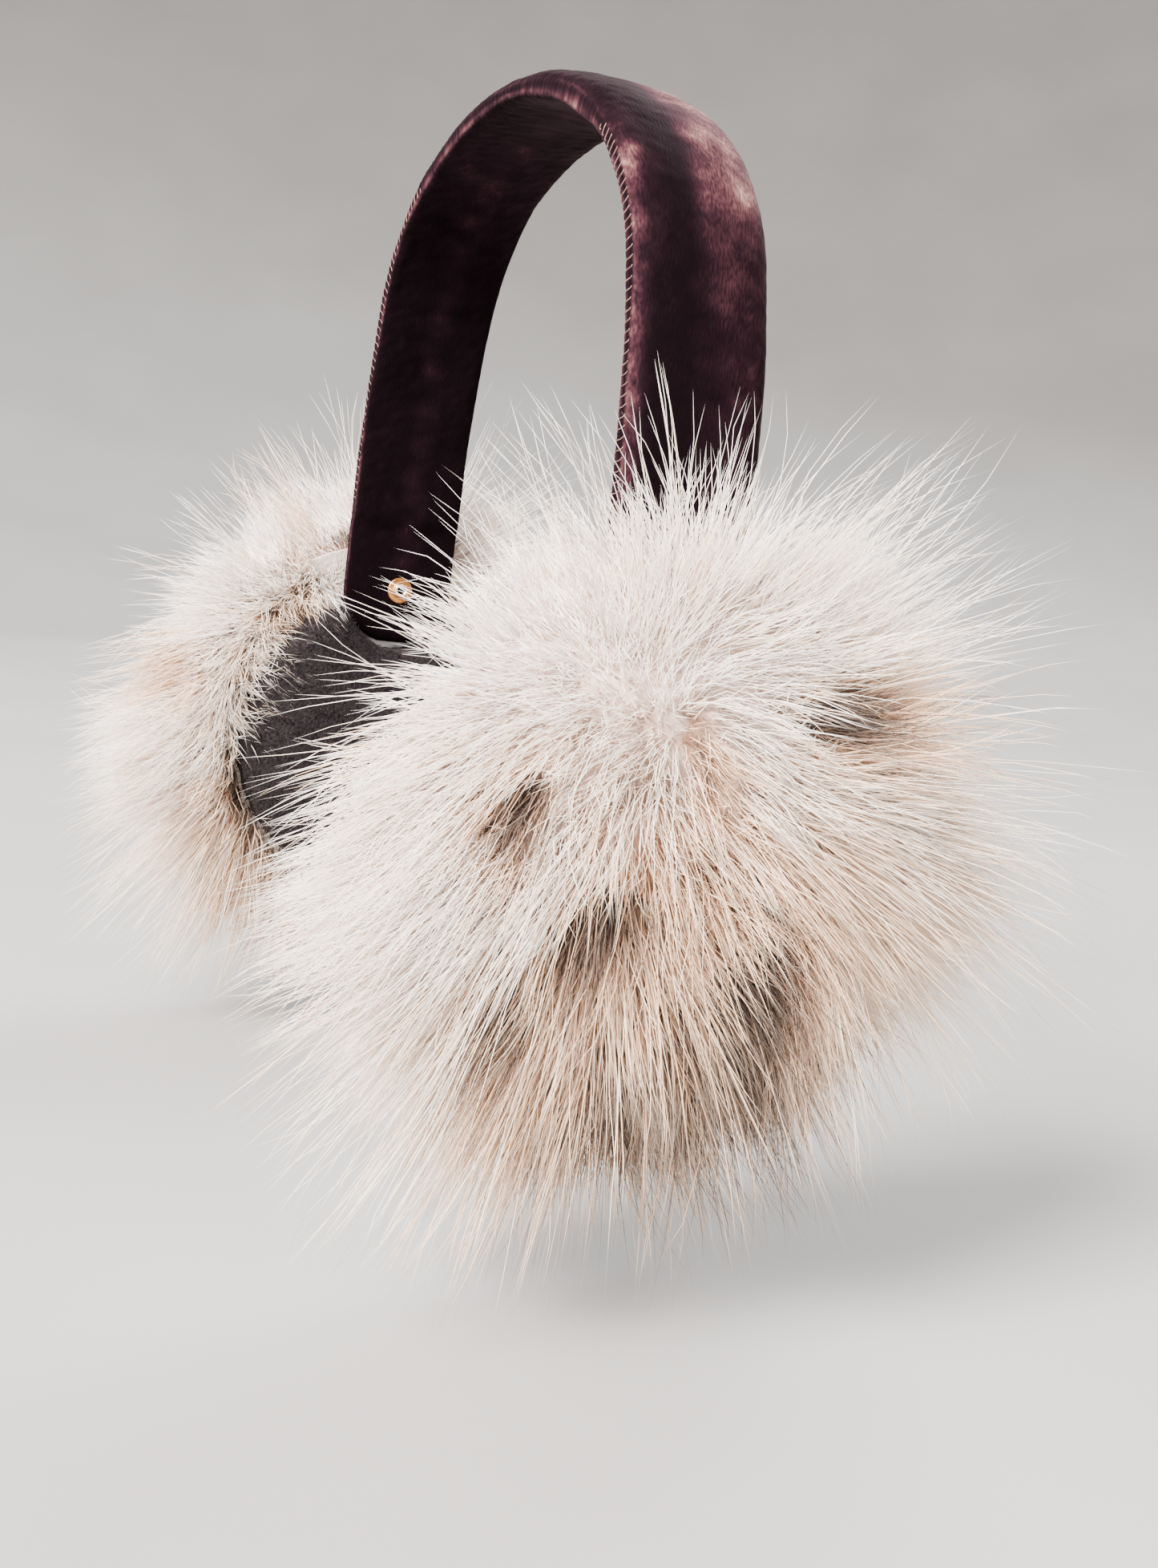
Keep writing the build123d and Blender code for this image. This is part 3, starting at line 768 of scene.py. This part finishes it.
def hair_paths(rng, roots, steps, reach, jitter, lean, crimp, locks, spots):
    """Paths (count, steps, 3) and tone (count); reach is the least and greatest length in metres."""
    root, normal = roots
    count = len(root)
    flow, distance = flow_at(root)
    radial = root * [0, 1, 1] / np.linalg.norm(root[:, 1:], axis=1)[:, None]
    inward = smooth_step(-(normal * radial).sum(1), -0.70, 0.05)
    inward = inward * (root[:, 0] < pelt_back + 0.001)
    flow = flow * (1 - inward)[:, None]
    lift = np.radians(lean[0] + (lean[1] - lean[0]) * smooth_step(distance, 0.004, 0.042))
    lower = smooth_step(-root[:, 2], 0.005, 0.035) * smooth_step(root[:, 1], -0.030, -0.010)
    lift = lift * (1 - 0.35 * lower) + rng.normal(0, jitter, count)
    direction = flow * np.cos(lift)[:, None] + normal * np.sin(lift)[:, None]
    direction += rng.normal(0, jitter, (count, 3))
    direction /= np.linalg.norm(direction, axis=1)[:, None]
    length = rng.uniform(reach[0], reach[1], count) * coat_length(root, distance)
    in_spot = spot_depth(root + 0.35 * length[:, None] * direction, spots)
    length = length * (1 - 0.18 * smooth_step(in_spot, 0.3, 0.8))
    parted = part_at_spots(root, direction, length, spots)
    length = np.where(rng.uniform(0, 1, count) < 0.93, parted, length)
    tone = coat_tone(root + 0.40 * length[:, None] * direction, spots)
    bend = 0.16 * flow + rng.normal(0, 0.12, (count, 3)) + [0, 0, -0.12]
    bend = bend - 0.45 * inward[:, None] * radial
    t = np.linspace(0, 1, steps)[None, :, None]
    curve = t * direction[:, None] + t ** 2 * bend[:, None]
    paths = root[:, None] + length[:, None, None] * curve
    turns = rng.uniform(0.8, 2, count)[:, None, None]
    wave = np.sin(2 * np.pi * (turns * t + rng.uniform(0, 1, count)[:, None, None]))
    paths = paths + crimp * wave * t * rng.normal(0, 1, (count, 1, 3))
    if locks:
        leader = nearest_leader(root, rng.choice(count, locks, replace=False))
        pull = rng.uniform(0.20, 0.95, count)[:, None, None] * t ** 1.3
        paths = paths + pull * (paths[leader] - paths)
    return inside_limits(paths, rng), tone


def nearest_leader(root, leaders):
    """For each root, the number of the nearest leader, found in blocks to keep arrays small."""
    found = [leaders[((block[:, None] - root[leaders][None]) ** 2).sum(-1).argmin(1)]
             for block in np.array_split(root, 40)]
    return np.concatenate(found)


def fan_clear(points):
    """Push points outwards in x where the band's end swings over the muff.

    The fan is a wedge about the rivet with a straight strip along each side; near the rivet, and
    where the band's end is flat, hair may come closer to the band than further along."""
    away = points[..., 1:] - rivet[1:]
    far = np.linalg.norm(away, axis=-1)
    turn = np.abs(np.arctan2(away[..., 0], away[..., 1]))
    beside = far * np.sin(np.clip(turn - fan_half, 0, np.pi / 2))
    along = far * np.cos(np.clip(turn - fan_half, 0, np.pi / 2))
    in_fan = (turn < fan_half) | ((beside < band_half + 0.0006) & (turn < fan_sides))
    limit = np.where(in_fan, np.where(along < flat_end_reach, flat_end_front, fan_front), 0.0)
    limit = np.where(far < flat_end_round, flat_end_front, limit)
    points = points.copy()
    points[..., 0] = np.maximum(points[..., 0], limit)
    return points


def inside_limits(paths, rng):
    """Shorten hair that would leave the part's box, and keep it out of the band's way."""
    root, tip = paths[:, :1], paths[:, -1:]
    slack = rng.uniform(0.93, 1.0, (len(paths), 1, 1))
    high = box_high * slack
    low = box_low * np.concatenate([1 + 0 * slack, slack, slack], -1)
    span = tip - root
    before, after = (low - root) / np.minimum(span, -1e-9), (high - root) / np.maximum(span, 1e-9)
    room = np.where(span > 0, after, before)
    share = np.clip(room.min(-1, keepdims=True), 0.1, 1)
    return fan_clear(root + (paths - root) * share)


uv_width = 0.005


def uv_corner(u, v):
    """One UV corner for every hair: U is the hair's tone, V its place along the hair."""
    return np.stack(np.broadcast_arrays(u, v), -1)


def hair_piece(name, paths, tone, thick, thin, mirror, seed):
    """Every hair as a closed three-sided tube that ends in a point, coloured by its UV place."""
    rng = np.random.default_rng(seed)
    count, steps = paths.shape[:2]
    along = paths[:, -1] - paths[:, 0]
    along /= np.linalg.norm(along, axis=1)[:, None]
    one = np.cross(along, rng.normal(size=(count, 3)))
    one /= np.linalg.norm(one, axis=1)[:, None]
    two = np.cross(along, one)
    t = np.linspace(0, 1, steps)[:-1]
    radius = (thick + (thin - thick) * t ** 1.5) * rng.uniform(0.8, 1.15, count)[:, None]
    angle = 2 * np.pi * np.arange(3) / 3
    ring = np.cos(angle)[None, :, None] * one[:, None] + np.sin(angle)[None, :, None] * two[:, None]
    tubes = paths[:, :-1, None] + radius[:, :, None, None] * ring[:, None]
    points = np.concatenate([tubes.reshape(count, -1, 3), paths[:, -1:]], 1)
    points[..., 0] *= mirror
    per = points.shape[1]
    base = (np.arange(count) * per)[:, None, None]
    row, col = np.arange(steps - 2)[:, None] * 3, np.arange(3)[None, :]
    after = (col + 1) % 3
    quads = np.stack([row + col, row + after, row + 3 + after, row + 3 + col], -1)
    quads = quads.reshape(1, -1, 4) + base
    end = 3 * (steps - 2)
    caps = np.array([[0, 2, 1], [end, end + 1, per - 1], [end + 1, end + 2, per - 1],
                     [end + 2, end, per - 1]])
    triangles = caps[None] + base
    u = tone[:, None, None] + uv_width * (np.arange(4) / 3 - 0.5)[None, None]
    v = (np.arange(steps - 1) / (steps - 1))[None, :, None]
    left, right, near, far = u[..., :3], u[..., 1:], v[:, :-1], v[:, 1:]
    quad_uv = np.stack([uv_corner(left, near), uv_corner(right, near),
                        uv_corner(right, far), uv_corner(left, far)], -2)
    root_uv = [uv_corner(tone - uv_width / 2, 0.0), uv_corner(tone + uv_width / 2, 0.0),
               uv_corner(tone, 0.01)]
    tip_uv = [[uv_corner(u[:, 0, k], v[0, -1, 0]), uv_corner(u[:, 0, k + 1], v[0, -1, 0]),
               uv_corner(tone, 1.0)] for k in range(3)]
    tri_uv = np.stack([np.stack(corners, -2) for corners in [root_uv] + tip_uv], 1)
    quads, triangles = quads.reshape(-1, 4), triangles.reshape(-1, 3)
    if mirror < 0:
        quads, triangles = quads[:, ::-1], triangles[:, ::-1]
        quad_uv, tri_uv = quad_uv[..., ::-1, :], tri_uv[..., ::-1, :]
    return mesh_object(name, points.reshape(-1, 3), quads, triangles, quad_uv, tri_uv)


print("whorl at y, z", whorl * 1000, "mm")

# %% [markdown]
# ## Hair's finish
# Each hair's UV place holds its colour: U is its tone, and V runs from its root to its tip. Three
# ramps give the colour of root, middle and tip for every tone, and V mixes them, so ticked hair
# is brown with a pale tip and some white hair ends in brown. The darker root ramp paints the
# shade deep in the coat.

# %% Make the hair's finish
# A stop is a tone and its red, green and blue.
# The root stops are darker and warmer than the middle ones: painted shade deep in the coat, between the
# hairs.
root_shade_stops = [(0.00, 0.018, 0.009, 0.007), (0.14, 0.055, 0.029, 0.022), (0.28, 0.15, 0.088, 0.060),
              (0.42, 0.36, 0.20, 0.125), (0.60, 0.45, 0.295, 0.215), (0.80, 0.52, 0.38, 0.325),
              (1.0, 0.46, 0.33, 0.27)]
middle_stops = [(0.00, 0.030, 0.016, 0.011), (0.14, 0.11, 0.062, 0.042), (0.28, 0.36, 0.220, 0.140),
                (0.42, 0.86, 0.52, 0.31), (0.60, 0.94, 0.70, 0.51), (0.80, 0.98, 0.91, 0.87),
                (1.0, 0.90, 0.80, 0.73)]
tip_stops = [(0.00, 0.060, 0.034, 0.022), (0.14, 0.28, 0.185, 0.135), (0.28, 0.88, 0.74, 0.62),
             (0.42, 0.95, 0.70, 0.49), (0.60, 0.97, 0.84, 0.70), (0.80, 0.99, 0.97, 0.95),
             (1.0, 0.16, 0.080, 0.040)]


def hair_finish():
    """Soft hair: the three ramps over U, mixed by V, on a slightly glossy shader."""
    made, tree, shader = new_material("spotted_fur", Roughness=0.48, Specular_IOR_Level=0.32,
                                      Sheen_Weight=0.15, Sheen_Roughness=0.5)
    place = node(tree, "UVMap", uv_map="OFBake").outputs["UV"]
    split = node(tree, "SeparateXYZ", {"Vector": place})
    tone, along = split.outputs["X"], split.outputs["Y"]
    # The root ramp's painted shade fades out between a tenth and six tenths of the way up each hair.
    up = node(tree, "MapRange", {"Value": along, "From Min": 0.10, "From Max": 0.60}).outputs["Result"]
    ends = node(tree, "MapRange", {"Value": along, "From Min": 0.72, "From Max": 0.95}).outputs["Result"]
    low = node(tree, "Mix", {0: up, 6: ramp(tree, tone, root_shade_stops), 7: ramp(tree, tone, middle_stops)},
               data_type="RGBA")
    full = node(tree, "Mix", {0: ends, 6: low.outputs[2], 7: ramp(tree, tone, tip_stops)},
                data_type="RGBA")
    tree.links.new(full.outputs[2], shader.inputs["Base Color"])
    return made


fur_finish = hair_finish()
print("hair finish ready")

# %% [markdown]
# ## Wool under the hair
# Between the hairs shows soft wool, coloured darker as painted shade deep in the coat. It is one
# closed shell: its inner face follows the pelt, and its outer face stands a few millimetres off and
# is lumpy. It stores the coat's tone on its points, so the spots carry through to it.

# %% Shape the wool
wool_rows, wool_around = 64, 140
wool_depth = 0.0034


def carried_round(profile, way):
    """Rows of places: each (x, radius) pair of a profile, carried round the X axis."""
    x = np.broadcast_to(profile[:, None, :1], (len(profile), len(way), 1))
    return np.concatenate([x, profile[:, None, 1:] * way], -1)


def wool_shell(mirror, spots, name):
    """Closed shell: outer = pelt + depth n with lumps, inner = pelt + a thin gap."""
    points, out = pelt_profile()
    in_front = np.nonzero(points[:, 0] > fan_front)[0]
    keep = in_front[np.linspace(0, len(in_front) - 1, wool_rows).astype(int)]
    points, out = points[keep], out[keep]
    angle = 2 * np.pi * np.arange(wool_around) / wool_around
    way = np.stack([np.cos(angle), np.sin(angle)], -1)
    far, normal = carried_round(points, way), carried_round(out, way)
    flat = far.reshape(-1, 3)
    depth = wool_depth + 0.0009 * ripple(flat, 0.009, 71) + 0.0006 * ripple(flat, 0.0035, 72)
    fade = smooth_step(-np.arange(len(points)), -len(points) + 1, -len(points) + 8)
    depth = depth.reshape(wool_rows, wool_around) * (0.12 + 0.88 * fade)[:, None]
    outer = fan_clear(far + normal * np.maximum(depth, 0.0004)[..., None])
    inner = far + normal * 0.0002
    rings = np.concatenate([outer[1:], inner[:0:-1]])
    if mirror > 0:
        rings = rings[:, ::-1]
    ends = np.stack([outer[0].mean(0), inner[0].mean(0)])
    every = np.concatenate([rings.reshape(-1, 3), ends])
    flip = np.array([mirror, 1, 1])
    piece = ring_tube(name, rings * flip, ends[0] * flip, ends[1] * flip)
    add_values(piece, "tone", coat_tone(every, spots))
    return piece


def wool_finish():
    """Matt wool coloured as painted shade: the coat's tone on the darker root ramp, darkened a little and
    mottled, with a fine fleecy bump.
    """
    made, tree, shader = new_material("under_wool_painted_shade", Roughness=0.95, Specular_IOR_Level=0.1,
                                      Sheen_Weight=0.3, Sheen_Roughness=0.6)
    tone = node(tree, "Attribute", attribute_name="tone").outputs["Fac"]
    mottle = grain(tree, 700, 5.0)
    # Painted shade: the mottle shifts the tone down more than up, and the root ramp is darker still.
    shift = node(tree, "MapRange", {"Value": mottle, "To Min": -0.10, "To Max": 0.08}).outputs["Result"]
    level = node(tree, "Math", {0: tone, 1: shift}, operation="ADD").outputs[0]
    tree.links.new(ramp(tree, level, root_shade_stops), shader.inputs["Base Color"])
    add_bump(tree, shader, mottle, 0.8, 0.0012)
    return made


shaded_wool = wool_finish()

# %% [markdown]
# ## Two coats of hair
# Five layers make a coat: two of short crimped underfur, two of guard hair in locks, and a few
# long guard hairs that stand out at the edge. A sixth, short layer closes the ring behind, where
# the pelt is gathered round the pad. Every layer is one piece, and each muff has its own spots.

# %% Grow both coats
# Each layer: name, hairs, points on a hair, least and greatest length, jitter, lift at the whorl
# and at the edge, crimp, locks, radius at root and tip, share of the pelt's area left bare.
coat_layers = [("underfur_a", 11500, 3, (0.010, 0.015), 0.42, (60, 46), 0.0008, 0, 0.00018, 0.00008, 0.0),
               ("underfur_b", 11500, 3, (0.011, 0.018), 0.38, (58, 42), 0.0007, 0, 0.00017, 0.00007, 0.0),
               ("guard_a", 7600, 5, (0.020, 0.030), 0.15, (62, 36), 0.0004, 900, 0.00013, 0.00004, 0.0),
               ("guard_b", 7600, 5, (0.017, 0.028), 0.19, (60, 40), 0.0005, 1300, 0.00013, 0.00004, 0.0),
               ("long_guard", 2500, 6, (0.034, 0.047), 0.13, (62, 36), 0.0004, 700, 0.00013, 0.00003, 0.0),
               ("ring_hair", 8000, 4, (0.011, 0.021), 0.25, (60, 60), 0.0005, 700, 0.00014, 0.00005, 0.89)]
for number, (side, mirror) in enumerate(sides):
    spots = (right_spots, left_spots)[number]
    shell = wool_shell(mirror, spots, "wool_" + side)
    shell.data.materials.append(shaded_wool)
    coat = [shell]
    for layer, settings in enumerate(coat_layers):
        name, count, steps, reach, jitter, lean, crimp, locks, thick, thin, first = settings
        seed = 100 * number + 7 * layer + 11
        rng = np.random.default_rng(seed + 1)
        roots = spread_roots(count, seed, first)
        paths, tone = hair_paths(rng, roots, steps, reach, jitter, lean, crimp, locks, spots)
        spread = 0.075 + 0.060 * smooth_step(-tone, -0.50, -0.36) * smooth_step(tone, 0.10, 0.22)
        tone = np.clip(tone + spread * rng.normal(0, 1, len(tone)), *tone_limits)
        if layer >= 2:
            tone = np.where((rng.uniform(0, 1, len(tone)) < 0.06) & (tone > 0.5), 0.97, tone)
        piece = hair_piece(name + "_" + side, paths, tone, thick, thin, mirror, seed + 2)
        piece.data.materials.append(fur_finish)
        coat.append(piece)
    for piece in coat:
        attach(piece, side + "_muff")
    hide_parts("fur_" + side)
    print(side, "coat:", sum(len(piece.data.polygons) for piece in coat), "faces")

# %% [markdown]
# ## Ear pads
# The side that lies on the ear is a round cushion of black plush, sewn down round its edge and
# cut away at the top to clear the band's end. Its cover is inflated as cloth: the sewn back edge
# is pinned, a little pressure swells the face, and how far it may move is limited.

# %% Inflate the ear pads
pad_radius = pad_high[1] + 0.0004
notch_radius = 0.0155
pad_face, pad_back = pad_low[0], pad_high[0]
sewn_depth = 0.0022
most_swell = 0.0022


def pad_outline(angle):
    """Distance from the pad's middle to its edge: a circle less the notch round the rivet."""
    rise = rivet[2] - pad_middle
    sine = rise * np.sin(angle)
    reaches = (np.abs(sine) < notch_radius) & (np.cos(angle) > 0)
    notch = rise * np.cos(angle) - np.sqrt(np.maximum(notch_radius ** 2 - sine ** 2, 0))
    return np.where(reaches, np.minimum(notch, pad_radius), pad_radius)


def pad_blank(mirror, name):
    """Flat cushion to inflate: rings from the face's middle out, round the edge and back in."""
    points_around = 240
    angle = 2 * np.pi * np.arange(points_around) / points_around
    edge = pad_outline(angle)
    round_off = 0.0030
    turn = np.radians(np.linspace(0, 90, 6))
    share = np.linspace(0.06, 1, 14) * (1 - round_off / pad_radius)
    face = [(s, 0.0, 0.0) for s in share]
    corner = [(share[-1], round_off * np.sin(a), round_off * (1 - np.cos(a))) for a in turn[1:]]
    depth = pad_back - pad_face
    wall = [(share[-1], round_off, d) for d in np.linspace(0.0045, depth, 5)]
    back = [(s, 0.0, depth) for s in share[::-1][1:]]
    rows = face + corner + wall + back
    rings = np.stack([np.stack([0 * angle + pad_face + d, (s * edge + extra) * np.sin(angle),
                                pad_middle + (s * edge + extra) * np.cos(angle)], -1)
                      for s, extra, d in rows])
    rings[..., 0] *= mirror
    if mirror < 0:
        rings = rings[:, ::-1]
    return ring_tube(name, rings, rings[0].mean(0), rings[-1].mean(0))


def inflate(piece, mirror, most):
    """Remesh, run 20 frames of cloth under pressure with the back pinned, and limit each move."""
    remesh = piece.modifiers.new("remesh", "REMESH")
    remesh.mode, remesh.voxel_size = "VOXEL", 0.0016
    apply_modifiers(piece)
    start = read_points(piece)
    pinned = np.nonzero(np.abs(start[:, 0]) > pad_back - sewn_depth)[0]
    group = piece.vertex_groups.new(name="sewn")
    group.add(pinned.tolist(), 1.0, "REPLACE")
    cloth = piece.modifiers.new("cloth", "CLOTH")
    cloth.settings.use_pressure = True
    cloth.settings.uniform_pressure_force = 4.0
    cloth.settings.vertex_group_mass = "sewn"
    cloth.settings.effector_weights.gravity = 0
    for number in range(1, 21):
        bpy.context.scene.frame_set(number)
    apply_modifiers(piece)
    bpy.context.scene.frame_set(1)
    move = read_points(piece) - start
    size = np.linalg.norm(move, axis=1)[:, None]
    moved = start + move * np.minimum(1, most / np.maximum(size, 1e-9))
    moved[:, 0] = mirror * np.clip(mirror * moved[:, 0], pad_face - most, pad_back)
    away = moved[:, 1:] - rivet[1:]
    far = np.linalg.norm(away, axis=1)[:, None]
    moved[:, 1:] = rivet[1:] + away * np.maximum(1, (notch_radius - 0.0004) / far)
    piece.data.vertices.foreach_set("co", moved.astype(np.float32).ravel())
    piece.data.update()
    return size.max()


def read_points(piece):
    """Points of a mesh as an array (n, 3)."""
    flat = np.zeros(3 * len(piece.data.vertices), np.float32)
    piece.data.vertices.foreach_get("co", flat)
    return flat.reshape(-1, 3).astype(float)


def apply_modifiers(piece):
    """Replace the mesh by what its modifiers make of it, and remove them."""
    graph = bpy.context.evaluated_depsgraph_get()
    made = bpy.data.meshes.new_from_object(piece.evaluated_get(graph))
    piece.modifiers.clear()
    piece.data = made


def gather_edge(piece):
    """One subdivision, then small gathers where the plush is drawn in round the edge."""
    smooth = piece.modifiers.new("smooth", "SUBSURF")
    smooth.levels = smooth.render_levels = 1
    apply_modifiers(piece)
    points = read_points(piece)
    angle = np.arctan2(points[:, 1], points[:, 2] - pad_middle)
    radius = np.hypot(points[:, 1], points[:, 2] - pad_middle)
    rim = smooth_step(radius / pad_outline(angle), 0.72, 0.95)
    fold = np.sin(46 * angle + 2.0 * np.sin(5 * angle)) * rim
    shrink = 1 - 0.008 * (0.5 + 0.5 * fold) * rim
    points[:, 1] *= shrink
    points[:, 2] = pad_middle + (points[:, 2] - pad_middle) * shrink
    piece.data.vertices.foreach_set("co", points.astype(np.float32).ravel())
    piece.data.polygons.foreach_set("use_smooth", np.ones(len(piece.data.polygons), bool))
    piece.data.update()


def plush_fibres(piece, mirror, name, count, seed):
    """Short pile on the pad: a fibre on random faces, along the face's normal with some lean."""
    rng = np.random.default_rng(seed)
    total = len(piece.data.polygons)
    centre, normal = np.zeros(3 * total, np.float32), np.zeros(3 * total, np.float32)
    piece.data.polygons.foreach_get("center", centre)
    piece.data.polygons.foreach_get("normal", normal)
    centre, normal = centre.reshape(-1, 3).astype(float), normal.reshape(-1, 3).astype(float)
    open_face = np.nonzero(np.abs(centre[:, 0]) < pad_back - 0.002)[0]
    pick = rng.choice(open_face, count)
    lean = rng.normal(0, 0.35, (count, 3)) + [0, 0.0, -0.25]
    way = normal[pick] + lean
    way /= np.linalg.norm(way, axis=1)[:, None]
    root = centre[pick] + rng.normal(0, 0.0004, (count, 3)) - 0.0003 * normal[pick]
    t = np.linspace(0, 1, 3)[None, :, None]
    size = rng.uniform(0.0009, 0.0016, count)[:, None, None]
    curl = 0.3 * t ** 2 * rng.normal(0, 1, (count, 1, 3))
    paths = root[:, None] + size * (t * way[:, None] + curl)
    away = np.hypot(paths[..., 1], paths[..., 2] - rivet[2]).min(1)
    paths = paths[away > band_half + 0.0008]
    tone = rng.uniform(0.1, 0.9, len(paths))
    paths[..., 0] *= mirror
    return hair_piece(name, paths, tone, 0.00011, 0.00006, mirror, seed)


def plush_finish(name, by_uv):
    """Black plush with a soft brown sheen; the pile reads its tone from its UV place."""
    made, tree, shader = new_material(name, Roughness=0.8, Sheen_Weight=0.05, Sheen_Roughness=0.4,
                                      Sheen_Tint=(0.55, 0.47, 0.45, 1), Specular_IOR_Level=0.06)
    if by_uv:
        place = node(tree, "UVMap", uv_map="OFBake").outputs["UV"]
        level = node(tree, "SeparateXYZ", {"Vector": place}).outputs["X"]
    else:
        level = grain(tree, 1400, 4.0)
        add_bump(tree, shader, level, 0.8, 0.0006)
    colour = ramp(tree, level, [(0.2, 0.003, 0.0025, 0.003), (0.8, 0.026, 0.020, 0.022)])
    tree.links.new(colour, shader.inputs["Base Color"])
    return made


plush, pile = plush_finish("black_plush", False), plush_finish("plush_pile", True)
for side, mirror in sides:
    pad = pad_blank(mirror, "plush_pad_" + side)
    wished = inflate(pad, mirror, most_swell)
    print(side, "pad would move", round(wished * 1000, 2), "mm at most")
    gather_edge(pad)
    pad.data.materials.clear()
    pad.data.materials.append(plush)
    fibres = plush_fibres(pad, mirror, "pile_" + side, 6000, 300 + mirror)
    fibres.data.materials.append(pile)
    for piece in (pad, fibres):
        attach(piece, side + "_muff")
    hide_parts("ear_lining_" + side)

# %% [markdown]
# ## Stage and camera
# The stage is a plain pale floor with three soft lights. The camera looks from outside the right
# muff, a little above it, so both muffs and the whole arch show.

# %% Set the stage
view_azimuth = 62.7
view_elevation = 8.3
view_distance = 0.34
view_roll = 7.3
view_lens = 38.9
view_target = np.array([0.0441, 0.0, 0.0048])
floor_height = -0.084
backdrop_start = 1.2


def aim_camera():
    """Camera on a sphere round the target: azimuth 0 looks along +Y, and it grows towards +X."""
    turn, lift = np.radians(view_azimuth), np.radians(view_elevation)
    away = Vector((np.sin(turn) * np.cos(lift), -np.cos(turn) * np.cos(lift), np.sin(lift)))
    data = bpy.data.cameras.new("camera")
    data.lens = view_lens
    data.sensor_width = 36.0
    camera = bpy.data.objects.new("camera", data)
    bpy.context.scene.collection.objects.link(camera)
    roll = Matrix.Rotation(np.radians(view_roll), 3, "Z")
    look = away.to_track_quat("Z", "Y").to_matrix() @ roll
    place = Matrix.Translation(Vector(view_target) + away * view_distance)
    camera.matrix_world = place @ look.to_4x4()
    bpy.context.scene.camera = camera
    return camera


def soft_light(name, place, size, power, colour=(1, 1, 1)):
    """Square area light that faces the object's middle."""
    data = bpy.data.lights.new(name, "AREA")
    data.size = size
    data.energy = power
    data.color = colour
    lamp = bpy.data.objects.new(name, data)
    bpy.context.scene.collection.objects.link(lamp)
    lamp.location = place
    lamp.rotation_euler = Vector(place).to_track_quat("Z", "Y").to_euler()


def build_floor():
    """Pale floor just under the lowest hair, which curves up far off into a plain backdrop."""
    radius = np.linspace(0, 5, 90)[1:]
    height = floor_height + 0.42 * np.maximum(radius - backdrop_start, 0) ** 2
    spokes = 96
    angle = 2 * np.pi * np.arange(spokes) / spokes
    grid = np.stack([radius[:, None] * np.cos(angle), radius[:, None] * np.sin(angle),
                     height[:, None] + 0 * angle], -1)
    row, col = np.arange(len(radius) - 1)[:, None] * spokes, np.arange(spokes)[None]
    after = (col + 1) % spokes
    quads = np.stack([row + col, row + spokes + col, row + spokes + after, row + after], -1)
    quads = quads.reshape(-1, 4)
    middle = np.stack([col[0], after[0], np.full(spokes, grid.size // 3)], -1)
    points = np.concatenate([grid.reshape(-1, 3), [(0, 0, height[0])]])
    floor = mesh_object("floor", points, quads, middle)
    finish = simple_finish("pale_floor", (0.30, 0.296, 0.292), (0.33, 0.326, 0.322), 6, 0.8)
    floor.data.materials.append(finish)


camera = aim_camera()
build_floor()
soft_light("key", (0.55, -1.3, 1.15), 0.7, 255, (1.0, 0.94, 0.89))
soft_light("fill", (1.5, 0.4, 0.6), 1.2, 20, (1.0, 0.93, 0.87))
soft_light("rim", (-0.7, 1.0, 1.2), 0.8, 60)
world = bpy.data.worlds.new("studio")
bpy.context.scene.world = world
world.use_nodes = True
background = world.node_tree.nodes["Background"]
background.inputs["Color"].default_value = (0.90, 0.875, 0.86, 1)
background.inputs["Strength"].default_value = 0.66
print("camera at", [round(value, 3) for value in camera.matrix_world.translation])
